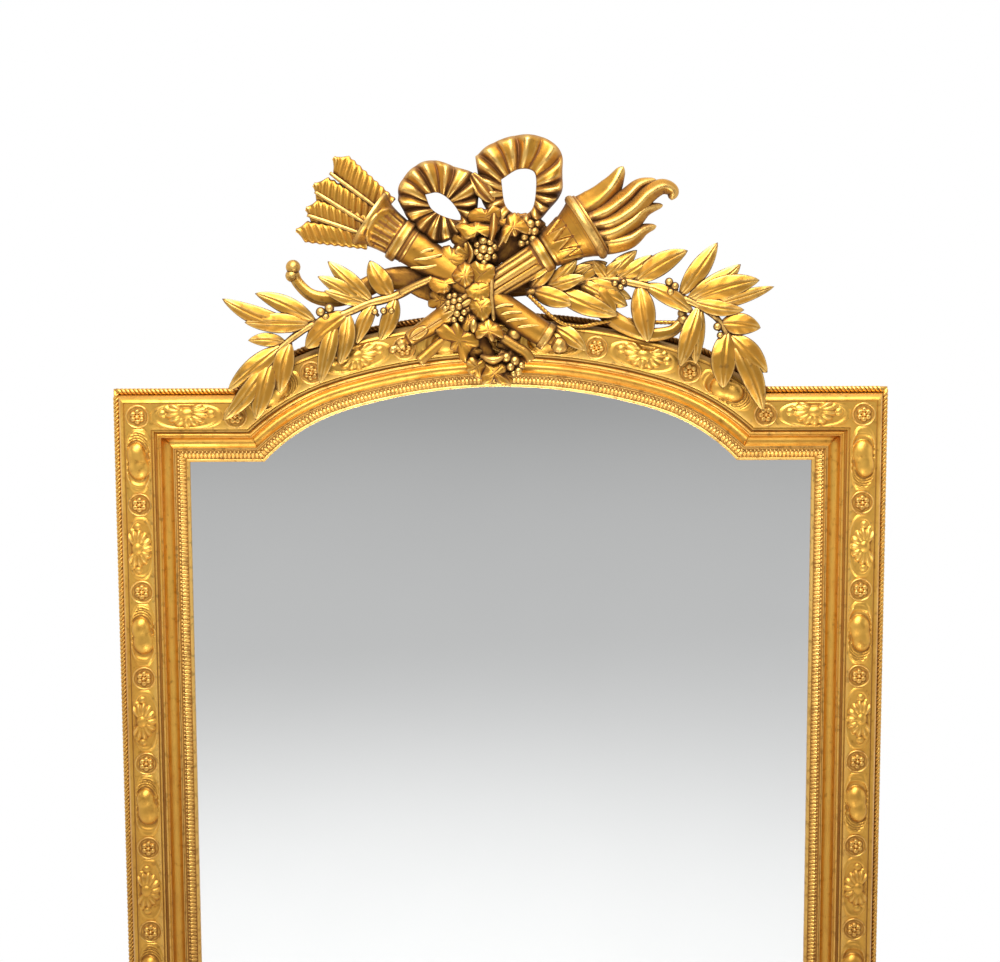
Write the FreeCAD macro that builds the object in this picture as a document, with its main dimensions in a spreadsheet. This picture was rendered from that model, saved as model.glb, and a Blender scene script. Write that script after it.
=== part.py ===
"""Giltwood mirror with an arched head and a carved trophy crest, in millimetres.

The wall is the plane Y = 0 and the front faces -Y. Z = 0 is the foot of the frame and X = 0 its middle.
Depths are measured forward from the wall, insets inward from the outer edge of the frame.
The crest is placed from the crown of the arch and from the face of the frieze.
"""
import FreeCAD, Part
import Sketcher
import math
import os
from FreeCAD import Placement, Rotation, Vector

SIZES = (
    ("outer_width", 1100, "width over the rope bead"),
    ("shoulder_height", 1455, "height of the square shoulders"),
    ("crown_share", 0.682, "sight edge, radius of the arch's flat middle, by the outer width"),
    ("chord_share", 0.199, "sight edge, half width of that middle, by the outer width"),
    ("haunch_share", 0.2473, "sight edge, radius of the arch's tighter ends, by the outer width"),
    ("bead_width", 9.8, "rope bead"),
    ("band_width", 9.2, "plain cove beside the bead"),
    ("frieze_width", 38, "ornamented frieze"),
    ("fillet_width", 3.3, "fillet inside the frieze"),
    ("reed_width", 8.7, "sunk channel"),
    ("hollow_width", 15.7, "cavetto down to the slip"),
    ("slip_fillet_width", 3.3, "fillet of the sight slip"),
    ("leaf_width", 12, "leaf tips of the sight slip"),
    ("lip_width", 6, "plain lip over the glass"),
    ("base_thickness", 24, "pine base frame"),
    ("side_inset", 3, "how far the sides stand back from the bead"),
    ("bead_seat", 4, "height of the bead's seat on the moulding"),
    ("bead_side", 5, "straight side of the bead"),
    ("bead_radius", 5.2, "round of the bead"),
    ("band_rise", 10, "wall behind the bead"),
    ("frieze_rise", 18, "rise of the cove to the frieze"),
    ("cove_radius", 13, "round of the cove"),
    ("fillet_drop", 3, "step from the frieze to its fillet"),
    ("reed_drop", 5, "step from the fillet to the channel"),
    ("hollow_drop", 14, "fall of the cavetto"),
    ("hollow_radius", 18, "round of the cavetto"),
    ("slip_rise", 14, "height of the slip over the glass"),
    ("leaf_step", 1, "step under the slip's fillet"),
    ("leaf_fall", 6, "slope of the leaf tips"),
    ("lip_rise", 5, "lip over the glass"),
    ("lip_fall", 2, "slope of the lip"),
    ("frieze_line", 38.5, "inset of the ornaments' centre line"),
    ("pitch_share", 0.1232, "rosette to rosette along the arch, by the outer width"),
    ("knee_rosette", 9, "knee rosette outside the mitre"),
    ("rosette_radius", 10, "rosette"),
    ("rosette_height", 6, "rosette"),
    ("cabochon_length", 52, "kidney cabochon, along the frieze"),
    ("cabochon_radius", 17, "kidney cabochon, round of its section"),
    ("cabochon_sink", 6, "depth of its axis under the frieze"),
    ("shell_length", 62, "shell, along the frieze"),
    ("shell_width", 32, "shell, across the frieze"),
    ("shell_height", 7, "shell"),
    ("glass_thickness", 5, "mirror plate"),
    ("glass_overlap", 9, "glass behind the sight edge"),
    ("glass_gap", 6, "glass edge to the base frame"),
    ("block_length", 40, "glazing block"),
    ("block_spread", 272, "glazing blocks at the foot, from the middle"),
    ("board_gap", 0.5, "play round each backboard"),
    ("recess_depth", 8, "turn buttons' recess in the back"),
    ("recess_width", 30, "turn buttons' recess, beside the opening"),
    ("tenon_length", 45, "header and bottom rail into the stiles"),
    ("tenon_width", 50, "tenon"),
    ("tenon_thickness", 8, "tenon"),
    ("tenon_shoulder", 18, "tenon from the edge of its rail"),
    ("peg_radius", 4, "peg through a tenon"),
    ("peg_play", 0.05, "peg in its hole"),
    ("button_length", 44, "turn button"),
    ("button_width", 16, "turn button"),
    ("button_thickness", 5, "turn button"),
    ("button_tail", 10, "turn button, behind its screw"),
    ("button_low", 436, "lower turn buttons, height"),
    ("button_high", 990, "upper turn buttons, height"),
    ("button_play", 0.2, "turn button over the boards"),
    ("screw_radius", 2, "screw shank"),
    ("screw_head", 4, "screw head radius"),
    ("screw_head_height", 2, "screw head"),
    ("screw_depth", 12, "screw in the wood"),
    ("plate_screw_depth", 8, "hanging plate's screw in the wood"),
    ("crest_screw_length", 22, "screw through the batten"),
    ("pivot_play", 0.05, "button on its screw, ring in its knuckle"),
    ("hanger_height", 1120, "height of the hanging plates"),
    ("hanger_inset", 34, "inset of the hanging plates"),
    ("plate_width", 20, "hanging plate"),
    ("plate_length", 58, "hanging plate"),
    ("plate_thickness", 2.5, "hanging plate"),
    ("plate_screw_pitch", 9.5, "screws of the hanging plate, from its foot upward"),
    ("knuckle_radius", 4.5, "knuckle of the hanging plate"),
    ("knuckle_length", 14, "knuckle of the hanging plate"),
    ("wire_radius", 2, "hanging ring"),
    ("ring_half_width", 17, "hanging ring"),
    ("ring_arm", 14, "hanging ring, straight arm"),
    ("ring_room", 5, "pocket round the ring"),
    ("pocket_depth", 11, "hanger pocket in the stile"),
    ("crest_drop", 106, "crest's own zero line under the crown"),
    ("batten_width", 46, "batten behind the crest"),
    ("batten_thickness", 12, "batten behind the crest"),
    ("batten_middle", 32, "batten, left of the middle"),
    ("batten_foot", 50, "batten's foot above the crest's zero"),
    ("batten_head", 250, "batten's head above the crest's zero"),
    ("pack_low_foot", 144, "packing behind the quiver, above the crest's zero"),
    ("pack_low_head", 162, "packing behind the quiver, above the crest's zero"),
    ("pack_high_foot", 216, "packing behind the ribbon, above the crest's zero"),
    ("pack_high_head", 244, "packing behind the ribbon, above the crest's zero"),
    ("leaf_thickness", 5, "laurel leaf"),
    ("feather_thickness", 10, "arrow's feathers"),
    ("broad_leaf_thickness", 8, "leaf of the garland"),
    ("core_radius", 10, "core of the garland"),
    ("stem_radius", 5, "laurel stem"),
    ("twig_radius", 2.6, "laurel twig"),
    ("limb_width", 17, "archer's bow"),
    ("limb_thickness", 12, "archer's bow"),
    ("string_radius", 2.6, "bow string"),
)

doc = FreeCAD.newDocument("giltwood_mirror")
pieces = []


class Length:
    """A size as its number and as the expression that gives it from the sheets."""

    def __init__(self, value, text):
        self.value = value
        self.text = text

    def joined(self, sign, other, value):
        return Length(value, f"({self.text} {sign} {as_length(other).text})")

    def __add__(self, other):
        return self.joined("+", other, self.value + as_length(other).value)

    def __sub__(self, other):
        return self.joined("-", other, self.value - as_length(other).value)

    def __mul__(self, other):
        return self.joined("*", other, self.value * as_length(other).value)

    def __truediv__(self, other):
        return self.joined("/", other, self.value / as_length(other).value)

    def __neg__(self):
        return Length(-self.value, f"(0 - {self.text})")


def as_length(number):
    return number if isinstance(number, Length) else Length(number, f"({number})")


def root(length):
    return Length(math.sqrt(length.value), f"sqrt({length.text})")


class Sheet:
    """A sheet of the document, whose aliases are read as attributes."""

    def __init__(self, name):
        self.name = name
        self.table = doc.addObject("Spreadsheet::Sheet", name)
        self.rows = 0

    def put(self, alias, text, note):
        self.rows += 1
        self.table.set(f"A{self.rows}", note)
        self.table.set(f"B{self.rows}", text)
        self.table.setAlias(f"B{self.rows}", alias)

    def __getattr__(self, alias):
        return Length(float(getattr(self.table, alias)), f"{self.name}.{alias}")


def driving_sheet():
    sheet = Sheet("Sizes")
    for alias, value, note in SIZES:
        sheet.put(alias, str(value), note)
    doc.recompute()
    return sheet


s = driving_sheet()
layout = Sheet("Layout")


def derive(alias, length, note):
    """Keeps a worked-out size in the second sheet, under a name of its own."""
    layout.put(alias, "=" + length.text, note)
    doc.recompute()
    return getattr(layout, alias)


# Insets of the moulding's members, from the outer edge inward
band_in = derive("band_in", s.bead_width + s.band_width, "inner edge of the cove")
frieze_in = derive("frieze_in", band_in + s.frieze_width, "inner edge of the frieze")
fillet_in = derive("fillet_in", frieze_in + s.fillet_width, "inner edge of the fillet")
reed_in = derive("reed_in", fillet_in + s.reed_width, "inner edge of the channel")
slip_out = derive("slip_out", reed_in + s.hollow_width, "outer edge of the slip")
slip_leaf = derive("slip_leaf", slip_out + s.slip_fillet_width, "outer edge of the leaf tips")
slip_lip = derive("slip_lip", slip_leaf + s.leaf_width, "outer edge of the lip")
frame_width = derive("frame_width", slip_lip + s.lip_width, "whole width of the frame")
glass_in = derive("glass_in", frame_width - s.glass_overlap, "edge of the glass")
opening_in = derive("opening_in", glass_in - s.glass_gap, "edge of the base frame's opening")

# Depths of the moulding's members, from the wall forward
bead_depth = derive("bead_depth", s.base_thickness + s.bead_seat, "seat of the bead")
band_depth = derive("band_depth", bead_depth + s.band_rise, "outer edge of the cove")
frieze_depth = derive("frieze_depth", band_depth + s.frieze_rise, "face of the frieze")
fillet_depth = derive("fillet_depth", frieze_depth - s.fillet_drop, "face of the fillet")
reed_depth = derive("reed_depth", fillet_depth - s.reed_drop, "floor of the channel")
hollow_depth = derive("hollow_depth", reed_depth - s.hollow_drop, "foot of the cavetto")
slip_depth = derive("slip_depth", s.base_thickness + s.slip_rise, "face of the slip")
glass_back = derive("glass_back", s.base_thickness - s.glass_thickness, "back of the glass")

# Centres of the arch, which has three centres and springs from the shoulders
half_width = derive("half_width", s.outer_width / 2, "half of the width")
crown_radius = derive("crown_radius", s.outer_width * s.crown_share, "sight edge, flat middle of the arch")
haunch_radius = derive("haunch_radius", s.outer_width * s.haunch_share, "sight edge, tighter ends of the arch")
arch_pitch = derive("arch_pitch", s.outer_width * s.pitch_share, "rosette to rosette along the arch")
lean_sine = derive("lean_sine", s.chord_share / s.crown_share, "sine at the spring of the crown")
lean_cosine = derive("lean_cosine", root(as_length(1) - lean_sine * lean_sine), "cosine there")
crown_z = derive("crown_z", s.shoulder_height - crown_radius, "centre of the crown")
radius_step = derive("radius_step", crown_radius - haunch_radius, "crown radius less haunch radius")
haunch_x = derive("haunch_x", radius_step * lean_sine, "centre of a haunch, sideways")
haunch_z = derive("haunch_z", crown_z + radius_step * lean_cosine, "centre of a haunch, upward")
crest_zero = derive("crest_zero", s.shoulder_height + frame_width - s.crest_drop, "crest's zero line")
lean = math.degrees(math.asin(lean_sine.value))


def knee_x(inset):
    """Half width at which an inset line of the arch meets the same line of the shoulder."""
    reach = haunch_radius + frame_width - inset
    rise = s.shoulder_height - inset - haunch_z
    return haunch_x + root(reach * reach - rise * rise)


knee_outer = derive("knee_outer", knee_x(as_length(0)), "knee at the outer edge")
knee_sight = derive("knee_sight", knee_x(frame_width), "knee at the sight edge")

FRONT = Rotation(Vector(1, 0, 0), 90)
SIDE = Rotation(Vector(1, 1, 1), 120)
PLAN = Rotation()


def bind(thing, **expressions):
    """Ties properties to sizes. A double underscore in a name stands for a dot."""
    for name, length in expressions.items():
        thing.setExpression(name.replace("__", "."), as_length(length).text)


def place(thing, x, depth, z, rotation=PLAN):
    x, y, z = as_length(x), -as_length(depth), as_length(z)
    thing.Placement = Placement(Vector(x.value, y.value, z.value), rotation)
    bind(thing, Placement__Base__x=x, Placement__Base__y=y, Placement__Base__z=z)
    return thing


def arc_between(start, end, radius, turn):
    """The smaller arc from start to end. turn is 1 for counter-clockwise and -1 for clockwise."""
    chord = end - start
    middle = (start + end) / 2
    away = math.sqrt(radius ** 2 - (chord.Length / 2) ** 2)
    centre = middle + Vector(-chord.y, chord.x, 0).normalize() * away * turn
    first, last = (start, end) if turn > 0 else (end, start)
    angles = [math.atan2(p.y - centre.y, p.x - centre.x) for p in (first, last)]
    if angles[1] < angles[0]:
        angles[1] += 2 * math.pi
    return Part.ArcOfCircle(Part.Circle(centre, Vector(0, 0, 1), radius), *angles)


def draw(sketch, outline):
    """A closed outline of points (x, y) or (x, y, radius, turn), where an arc leads to the next point."""
    points = [Vector(p[0].value, p[1].value, 0) for p in outline]
    ends = []
    for number, corner in enumerate(outline):
        start, end = points[number], points[(number + 1) % len(points)]
        if len(corner) == 2:
            sketch.addGeometry(Part.LineSegment(start, end), False)
            ends.append((1, 2))
        else:
            sketch.addGeometry(arc_between(start, end, corner[2].value, corner[3]), False)
            ends.append((1, 2) if corner[3] > 0 else (2, 1))
    for number, corner in enumerate(outline):
        following = (number + 1) % len(outline)
        sketch.addConstraint(Sketcher.Constraint(
            "Coincident", number, ends[number][1], following, ends[following][0]))
        for kind, length in (("DistanceX", corner[0]), ("DistanceY", corner[1])):
            datum = sketch.addConstraint(Sketcher.Constraint(
                kind, -1, 1, number, ends[number][0], length.value))
            sketch.setExpression(f"Constraints[{datum}]", length.text)
        if len(corner) == 4:
            datum = sketch.addConstraint(Sketcher.Constraint("Radius", number, corner[2].value))
            sketch.setExpression(f"Constraints[{datum}]", corner[2].text)


def drawn(name, outline, rotation):
    sketch = doc.addObject("Sketcher::SketchObject", name)
    sketch.Placement = Placement(Vector(), rotation)
    draw(sketch, outline)
    return sketch


def extruded(name, outline, rotation, length):
    solid = doc.addObject("Part::Extrusion", name)
    solid.Base = drawn(name + "_outline", outline, rotation)
    solid.DirMode = "Normal"
    solid.Solid = True
    bind(solid, LengthFwd=length)
    return solid


def box(name, left, right, back, front, low, high):
    solid = doc.addObject("Part::Box", name)
    bind(solid, Length=as_length(right) - left, Width=as_length(front) - back, Height=as_length(high) - low)
    return place(solid, left, front, low)


def rod(name, x, back, front, z, radius):
    """A cylinder from back to front, square to the wall."""
    solid = doc.addObject("Part::Cylinder", name)
    bind(solid, Radius=radius, Height=as_length(front) - back)
    return place(solid, x, back, z, FRONT)


def cross_rod(name, middle, depth, z, half_length, radius):
    """A cylinder along X."""
    solid = doc.addObject("Part::Cylinder", name)
    bind(solid, Radius=radius, Height=as_length(half_length) * 2)
    return place(solid, as_length(middle) - half_length, depth, z, Rotation(Vector(0, 1, 0), 90))


def group(name, solids):
    compound = doc.addObject("Part::Compound", name)
    compound.Links = solids
    return compound


def cut(name, base, tools):
    solid = doc.addObject("Part::Cut", name)
    solid.Base = base
    solid.Tool = tools[0] if len(tools) == 1 else fused(name + "_tools", tools)
    return solid


def fused(name, solids):
    solid = doc.addObject("Part::MultiFuse", name)
    solid.Shapes = solids
    return solid


def common(name, base, tool):
    solid = doc.addObject("Part::Common", name)
    solid.Base = base
    solid.Tool = tool
    return solid


def carved(name, shape):
    solid = doc.addObject("Part::Feature", name)
    solid.Shape = shape
    return solid


def piece(node, solid):
    """Names a finished piece. Its label is the name of its file."""
    solid.Label = node
    pieces.append(solid)
    return solid


# Outlines of the frame

def frame_outline(inset):
    """The frame's outline, at an inset from its outer edge, seen from the front."""
    side = half_width - inset
    shoulder = s.shoulder_height - inset
    knee = knee_x(inset)
    crown = crown_radius + frame_width - inset
    haunch = haunch_radius + frame_width - inset
    spring_x, spring_z = crown * lean_sine, crown_z + crown * lean_cosine
    return [
        (-side, inset), (side, inset), (side, shoulder), (knee, shoulder, haunch, 1),
        (spring_x, spring_z, crown, 1), (-spring_x, spring_z, haunch, 1), (-knee, shoulder), (-side, shoulder)]


def base_outline():
    """The base frame's outline: its foot is level with the rope bead, and its other sides stand back."""
    side = half_width - s.side_inset
    foot = s.side_inset * 0
    return [(-side, foot), (side, foot)] + frame_outline(s.side_inset)[2:]


def slab(name, outline, back, front):
    return place(extruded(name, outline, FRONT, as_length(front) - back), 0, back, 0)


def moulding_profile():
    return [
        (s.side_inset, s.base_thickness), (s.side_inset, bead_depth), (s.bead_width, bead_depth),
        (s.bead_width, band_depth, s.cove_radius, 1), (band_in, frieze_depth), (frieze_in, frieze_depth),
        (frieze_in, fillet_depth), (fillet_in, fillet_depth), (fillet_in, reed_depth),
        (reed_in, reed_depth, s.hollow_radius, 1), (slip_out, hollow_depth), (slip_out, s.base_thickness)]


def bead_profile():
    top = bead_depth + s.bead_side
    edge = s.bead_width * 0
    return [(edge, bead_depth), (s.bead_width, bead_depth), (s.bead_width, top, s.bead_radius, 1), (edge, top)]


def slip_profile():
    leaf_top = slip_depth - s.leaf_step
    lip_top = s.base_thickness + s.lip_rise
    return [
        (slip_out, s.base_thickness), (slip_out, slip_depth), (slip_leaf, slip_depth), (slip_leaf, leaf_top),
        (slip_lip, leaf_top - s.leaf_fall), (slip_lip, lip_top), (frame_width, lip_top - s.lip_fall),
        (frame_width, s.base_thickness)]


def turned_profile(profile, along, across, turn):
    """A profile of (inset, depth) as a sketch's own points, where turn says whether it is mirrored."""
    return [(along(p), across(p)) + ((p[2], p[3] * turn) if len(p) == 4 else ()) for p in profile]


def mitres():
    """The wedges of space that the six members of the frame are cut to."""
    low_in, top, top_in = frame_width, s.shoulder_height, s.shoulder_height - frame_width
    side, side_in = half_width, half_width - frame_width
    run = knee_outer - knee_sight
    far_x, far_z = knee_outer + run * 2, top + frame_width * 2
    near_x, near_z = knee_sight - run, top_in - frame_width
    zero = frame_width * 0
    shapes = {"bottom": [(-side, zero), (side, zero), (side_in, low_in), (-side_in, low_in)]}
    for name, sign in (("left", -1), ("right", 1)):
        corners = [(side, zero), (side, top), (side_in, top_in), (side_in, low_in)]
        knees = [(side, top), (knee_outer, top), (knee_sight, top_in), (side_in, top_in)]
        shapes["stile_" + name] = [(x * sign, z) for x, z in corners]
        shapes["shoulder_" + name] = [(x * sign, z) for x, z in knees]
    shapes["arch"] = [(-near_x, near_z), (near_x, near_z), (far_x, far_z), (-far_x, far_z)]
    return {name: extruded("mitre_" + name, shape, FRONT, frieze_depth * 2) for name, shape in shapes.items()}


def arch_run(name, profile):
    """A profile turned about the three centres of the arch."""
    crown = crown_radius + frame_width
    haunch = haunch_radius + frame_width
    knee_angle = math.degrees(math.asin((knee_sight - haunch_x).value / haunch_radius.value))
    runs = []
    for part, centre_x, centre_z, radius, start, sweep, axis in (
            ("crown", 0, crown_z, crown, -lean, 2 * lean, 1),
            ("left", -haunch_x, haunch_z, haunch, -lean, knee_angle, -1),
            ("right", haunch_x, haunch_z, haunch, lean, knee_angle, 1)):
        points = turned_profile(profile, lambda p: -p[1], lambda p: radius - p[0], -1)
        section = drawn(f"{name}_{part}_section", points, PLAN)
        turn = Rotation(Vector(0, 1, 0), start) * SIDE
        place(section, centre_x, 0, centre_z, turn)
        run = doc.addObject("Part::Revolution", f"{name}_{part}")
        run.Source = section
        run.Solid = True
        run.Axis = Vector(0, axis, 0)
        run.Angle = sweep
        bind(run, Base__x=centre_x, Base__z=centre_z)
        runs.append(run)
    whole = fused(name + "_run", runs)
    whole.Refine = True
    return whole


def member_runs(name, profile):
    """The profile run along each of the six members, past its mitres."""
    left = turned_profile(profile, lambda p: p[0] - half_width, lambda p: -p[1], -1)
    right = turned_profile(profile, lambda p: half_width - p[0], lambda p: -p[1], 1)
    bottom = turned_profile(profile, lambda p: -p[1], lambda p: p[0], 1)
    top = turned_profile(profile, lambda p: -p[1], lambda p: s.shoulder_height - p[0], -1)
    runs = {
        "stile_left": extruded(name + "_left_run", left, PLAN, s.shoulder_height),
        "stile_right": extruded(name + "_right_run", right, PLAN, s.shoulder_height),
        "bottom": place(extruded(name + "_bottom_run", bottom, SIDE, s.outer_width), -half_width, 0, 0),
        "shoulder_left": place(extruded(name + "_top_left", top, SIDE, half_width), -half_width, 0, 0),
        "shoulder_right": extruded(name + "_top_right", top, SIDE, half_width),
        "arch": arch_run(name, profile)}
    return runs


def frame_members():
    wedges = mitres()
    for name, profile in (
            ("moulding", moulding_profile()), ("rope_bead", bead_profile()), ("sight_slip", slip_profile())):
        for member, run in member_runs(name, profile).items():
            piece(f"{name}_{member}", common(f"{name}_{member}_cut", run, wedges[member]))


# Base frame, glass and backboards

def tenon_boxes():
    """The tenons of the bottom rail and the header, left and right, as (name, box)."""
    joint = half_width - opening_in
    back = s.recess_depth + (s.base_thickness - s.recess_depth - s.tenon_thickness) / 2
    front = back + s.tenon_thickness
    low = s.side_inset + s.tenon_shoulder
    high = s.shoulder_height - s.side_inset - s.tenon_shoulder
    spans = {"bottom": (low, low + s.tenon_width), "header": (high - s.tenon_width, high)}
    tenons = {}
    for rail, (foot, head) in spans.items():
        tenons[rail, "left"] = box(f"tenon_{rail}_left", -joint - s.tenon_length, -joint, back, front, foot, head)
        tenons[rail, "right"] = box(f"tenon_{rail}_right", joint, joint + s.tenon_length, back, front, foot, head)
    return tenons, spans


def peg_rods(spans, radius, name):
    joint = half_width - opening_in
    across = joint + s.tenon_length / 2
    rods = {"left": [], "right": []}
    for rail, (foot, head) in spans.items():
        for end, z in (("low", foot + s.peg_radius * 2), ("high", head - s.peg_radius * 2)):
            rods["left"].append(rod(f"{name}_{rail}_{end}_left", -across, 0, s.base_thickness, z, radius))
            rods["right"].append(rod(f"{name}_{rail}_{end}_right", across, 0, s.base_thickness, z, radius))
    return rods


def button_places():
    """Turn buttons as (name, x, z, angle of the button from +X, seen from the front)."""
    pivot = half_width - opening_in + s.recess_width / 2
    foot = opening_in - s.recess_width / 2
    low, high = s.button_low, s.button_high
    return [
        ("left_low", -pivot, low, 0), ("left_high", -pivot, high, 0), ("right_low", pivot, low, 180),
        ("right_high", pivot, high, 180), ("foot_left", -half_width / 3, foot, 90),
        ("foot_right", half_width / 3, foot, 90)]


def turn_buttons():
    """Each button turns on a screw in the floor of the recess and reaches over the edge of a backboard."""
    front = s.recess_depth - s.button_play
    back = front - s.button_thickness
    screws, holes = [], []
    for name, x, z, angle in button_places():
        blank = extruded("button_blank_" + name, [
            (-s.button_tail, -s.button_width / 2), (s.button_length - s.button_tail, -s.button_width / 2),
            (s.button_length - s.button_tail, s.button_width / 2), (-s.button_tail, s.button_width / 2)],
            FRONT, s.button_thickness)
        place(blank, x, back, z, Rotation(Vector(0, -1, 0), angle))
        bore = rod("button_bore_" + name, x, back - 1, front + 1, z, s.screw_radius + s.pivot_play)
        piece("turn_button_" + name, cut("button_" + name, blank, [bore]))
        shank = rod("button_shank_" + name, x, back, s.recess_depth + s.screw_depth, z, s.screw_radius)
        head = rod("button_head_" + name, x, back - s.screw_head_height, back - s.button_play / 2, z, s.screw_head)
        shank_top = rod("button_neck_" + name, x, back - s.screw_head_height, front, z, s.screw_radius)
        screws.append(fused("button_screw_" + name, [shank, shank_top, head]))
        holes.append(rod("button_hole_" + name, x, s.recess_depth, s.recess_depth + s.screw_depth, z,
                         s.screw_radius))
    piece("turn_button_screws", group("button_screws", screws))
    return holes


def hangers():
    """A plate with a knuckle, and a ring that swings in it, let into the back of each stile."""
    axis_depth = s.pocket_depth / 2
    pockets, screws = {}, []
    reach = s.ring_arm + s.ring_half_width + s.wire_radius + s.ring_room
    room = s.ring_half_width + s.wire_radius + s.ring_room
    for side, sign in (("left", -1), ("right", 1)):
        x = (half_width - s.side_inset - s.hanger_inset) * sign
        z = s.hanger_height
        plate_low = z - s.knuckle_radius - s.plate_length
        floor = s.pocket_depth
        pocket = box("hanger_pocket_" + side, x - room, x + room, 0, floor, plate_low, z + reach)
        plate = box("hanger_leaf_" + side, x - s.plate_width / 2, x + s.plate_width / 2,
                    floor - s.plate_thickness, floor, plate_low, z)
        knuckle = cross_rod("hanger_knuckle_" + side, x, axis_depth, z, s.knuckle_length / 2, s.knuckle_radius)
        cheek = box("hanger_cheek_" + side, x - s.knuckle_length / 2, x + s.knuckle_length / 2, axis_depth, floor,
                    z - s.knuckle_radius, z + s.knuckle_radius)
        bore = cross_rod("hanger_bore_" + side, x, axis_depth, z, s.knuckle_length,
                         s.wire_radius + s.pivot_play)
        body = cut("hanger_body_" + side, fused("hanger_solid_" + side, [plate, knuckle, cheek]), [bore])
        holes, stile_holes = [], []
        for number in (1, 2):
            hole_z = plate_low + s.plate_screw_pitch * number
            back, point = floor - s.plate_thickness, floor + s.plate_screw_depth
            holes.append(rod(f"plate_hole_{side}_{number}", x, back - 1, floor + 1, hole_z, s.screw_radius))
            stile_holes.append(rod(f"stile_hole_{side}_{number}", x, floor - 1, point, hole_z, s.screw_radius))
            shank = rod(f"plate_shank_{side}_{number}", x, back, point, hole_z, s.screw_radius)
            head = rod(f"plate_head_{side}_{number}", x, back - s.screw_head_height / 2, back, hole_z, s.screw_head)
            screws.append(fused(f"plate_screw_{side}_{number}", [shank, head]))
        piece("hanger_plate_" + side, cut("hanger_" + side, body, holes))
        piece("hanger_ring_" + side, ring(side, x, axis_depth, z))
        pockets[side] = fused("hanger_space_" + side, [pocket] + stile_holes)
    piece("hanger_screws", group("plate_screws", screws))
    return pockets


def ring(side, x, depth, z):
    """A ring of round wire: a bar through the knuckle, two arms and a half circle, hanging down."""
    wide = s.ring_half_width
    solids = [cross_rod("ring_bar_" + side, x, depth, z, wide, s.wire_radius)]
    for hand, sign in (("a", -1), ("b", 1)):
        arm = doc.addObject("Part::Cylinder", f"ring_arm_{side}_{hand}")
        bind(arm, Radius=s.wire_radius, Height=s.ring_arm)
        solids.append(place(arm, x + wide * sign, depth, z - s.ring_arm))
        corner = doc.addObject("Part::Sphere", f"ring_corner_{side}_{hand}")
        bind(corner, Radius=s.wire_radius)
        solids.append(place(corner, x + wide * sign, depth, z))
    bend = doc.addObject("Part::Torus", "ring_bend_" + side)
    bend.Angle3 = 180
    bind(bend, Radius1=wide, Radius2=s.wire_radius)
    solids.append(place(bend, x, depth, z - s.ring_arm, Rotation(Vector(1, 0, 0), -90)))
    return fused("ring_" + side, solids)


def base_frame(button_holes, pockets, batten, crest_holes):
    ring_blank = cut("base_ring", slab("base_blank", base_outline(), 0, s.base_thickness), [
        slab("base_opening", frame_outline(opening_in), -1, s.base_thickness + 1),
        slab("base_recess", frame_outline(opening_in - s.recess_width), -1, s.recess_depth)])
    joint = half_width - opening_in
    middle = s.shoulder_height / 2
    tall = s.shoulder_height + frame_width * 2
    tenons, spans = tenon_boxes()
    pegs = peg_rods(spans, s.peg_radius, "peg")
    peg_holes = peg_rods(spans, s.peg_radius + s.peg_play, "peg_hole")
    piece("corner_pegs", group("pegs", pegs["left"] + pegs["right"]))
    holes = group("button_holes", button_holes)
    for side, sign in (("left", -1), ("right", 1)):
        inner, outer = joint * sign, half_width * sign
        low, high = (outer, inner) if sign < 0 else (inner, outer)
        blank = common("stile_blank_" + side, ring_blank, box(
            "stile_space_" + side, low, high, -1, s.base_thickness + 1, 0, tall))
        piece("base_stile_" + side, cut("stile_" + side, blank, [
            tenons["bottom", side], tenons["header", side], pockets[side], holes] + peg_holes[side]))
    every_peg = peg_holes["left"] + peg_holes["right"]
    rail = common("rail_blank", ring_blank, box(
        "rail_space", -joint, joint, -1, s.base_thickness + 1, 0, middle))
    rail = fused("rail_tenoned", [rail, tenons["bottom", "left"], tenons["bottom", "right"]])
    piece("base_rail_bottom", cut("rail_bottom", rail, [holes] + every_peg))
    head = common("header_blank", ring_blank, box(
        "header_space", -joint, joint, -1, s.base_thickness + 1, middle, tall))
    head = fused("header_tenoned", [head, tenons["header", "left"], tenons["header", "right"]])
    piece("base_header", cut("header", head, [batten] + crest_holes + every_peg))


def glazing():
    piece("mirror_glass", slab("glass", frame_outline(glass_in), glass_back, s.base_thickness))
    boards = slab("board_blank", frame_outline(opening_in + s.board_gap), s.recess_depth, glass_back)
    edge = half_width - opening_in
    third = edge * 2 / 3
    tall = s.shoulder_height + frame_width * 2
    for name, low in (("left", -edge), ("centre", -edge + third), ("right", -edge + third * 2)):
        space = box("board_space_" + name, low + s.board_gap / 2, low + third - s.board_gap / 2, 0,
                    s.base_thickness, 0, tall)
        piece("backboard_" + name, common("board_" + name, boards, space))
    blocks = []
    inner, outer = half_width - glass_in, half_width - opening_in
    for row in (1, 2, 3):
        z = s.shoulder_height * row / 4
        blocks.append(box(f"block_left_{row}", -outer, -inner, glass_back, s.base_thickness, z, z + s.block_length))
        blocks.append(box(f"block_right_{row}", inner, outer, glass_back, s.base_thickness, z, z + s.block_length))
        x = s.block_spread * (row - 2) - s.block_length / 2
        blocks.append(box(f"block_foot_{row}", x, x + s.block_length, glass_back, s.base_thickness, opening_in,
                          glass_in))
    piece("glazing_blocks", group("blocks", blocks))


# Carving in the frieze

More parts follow.
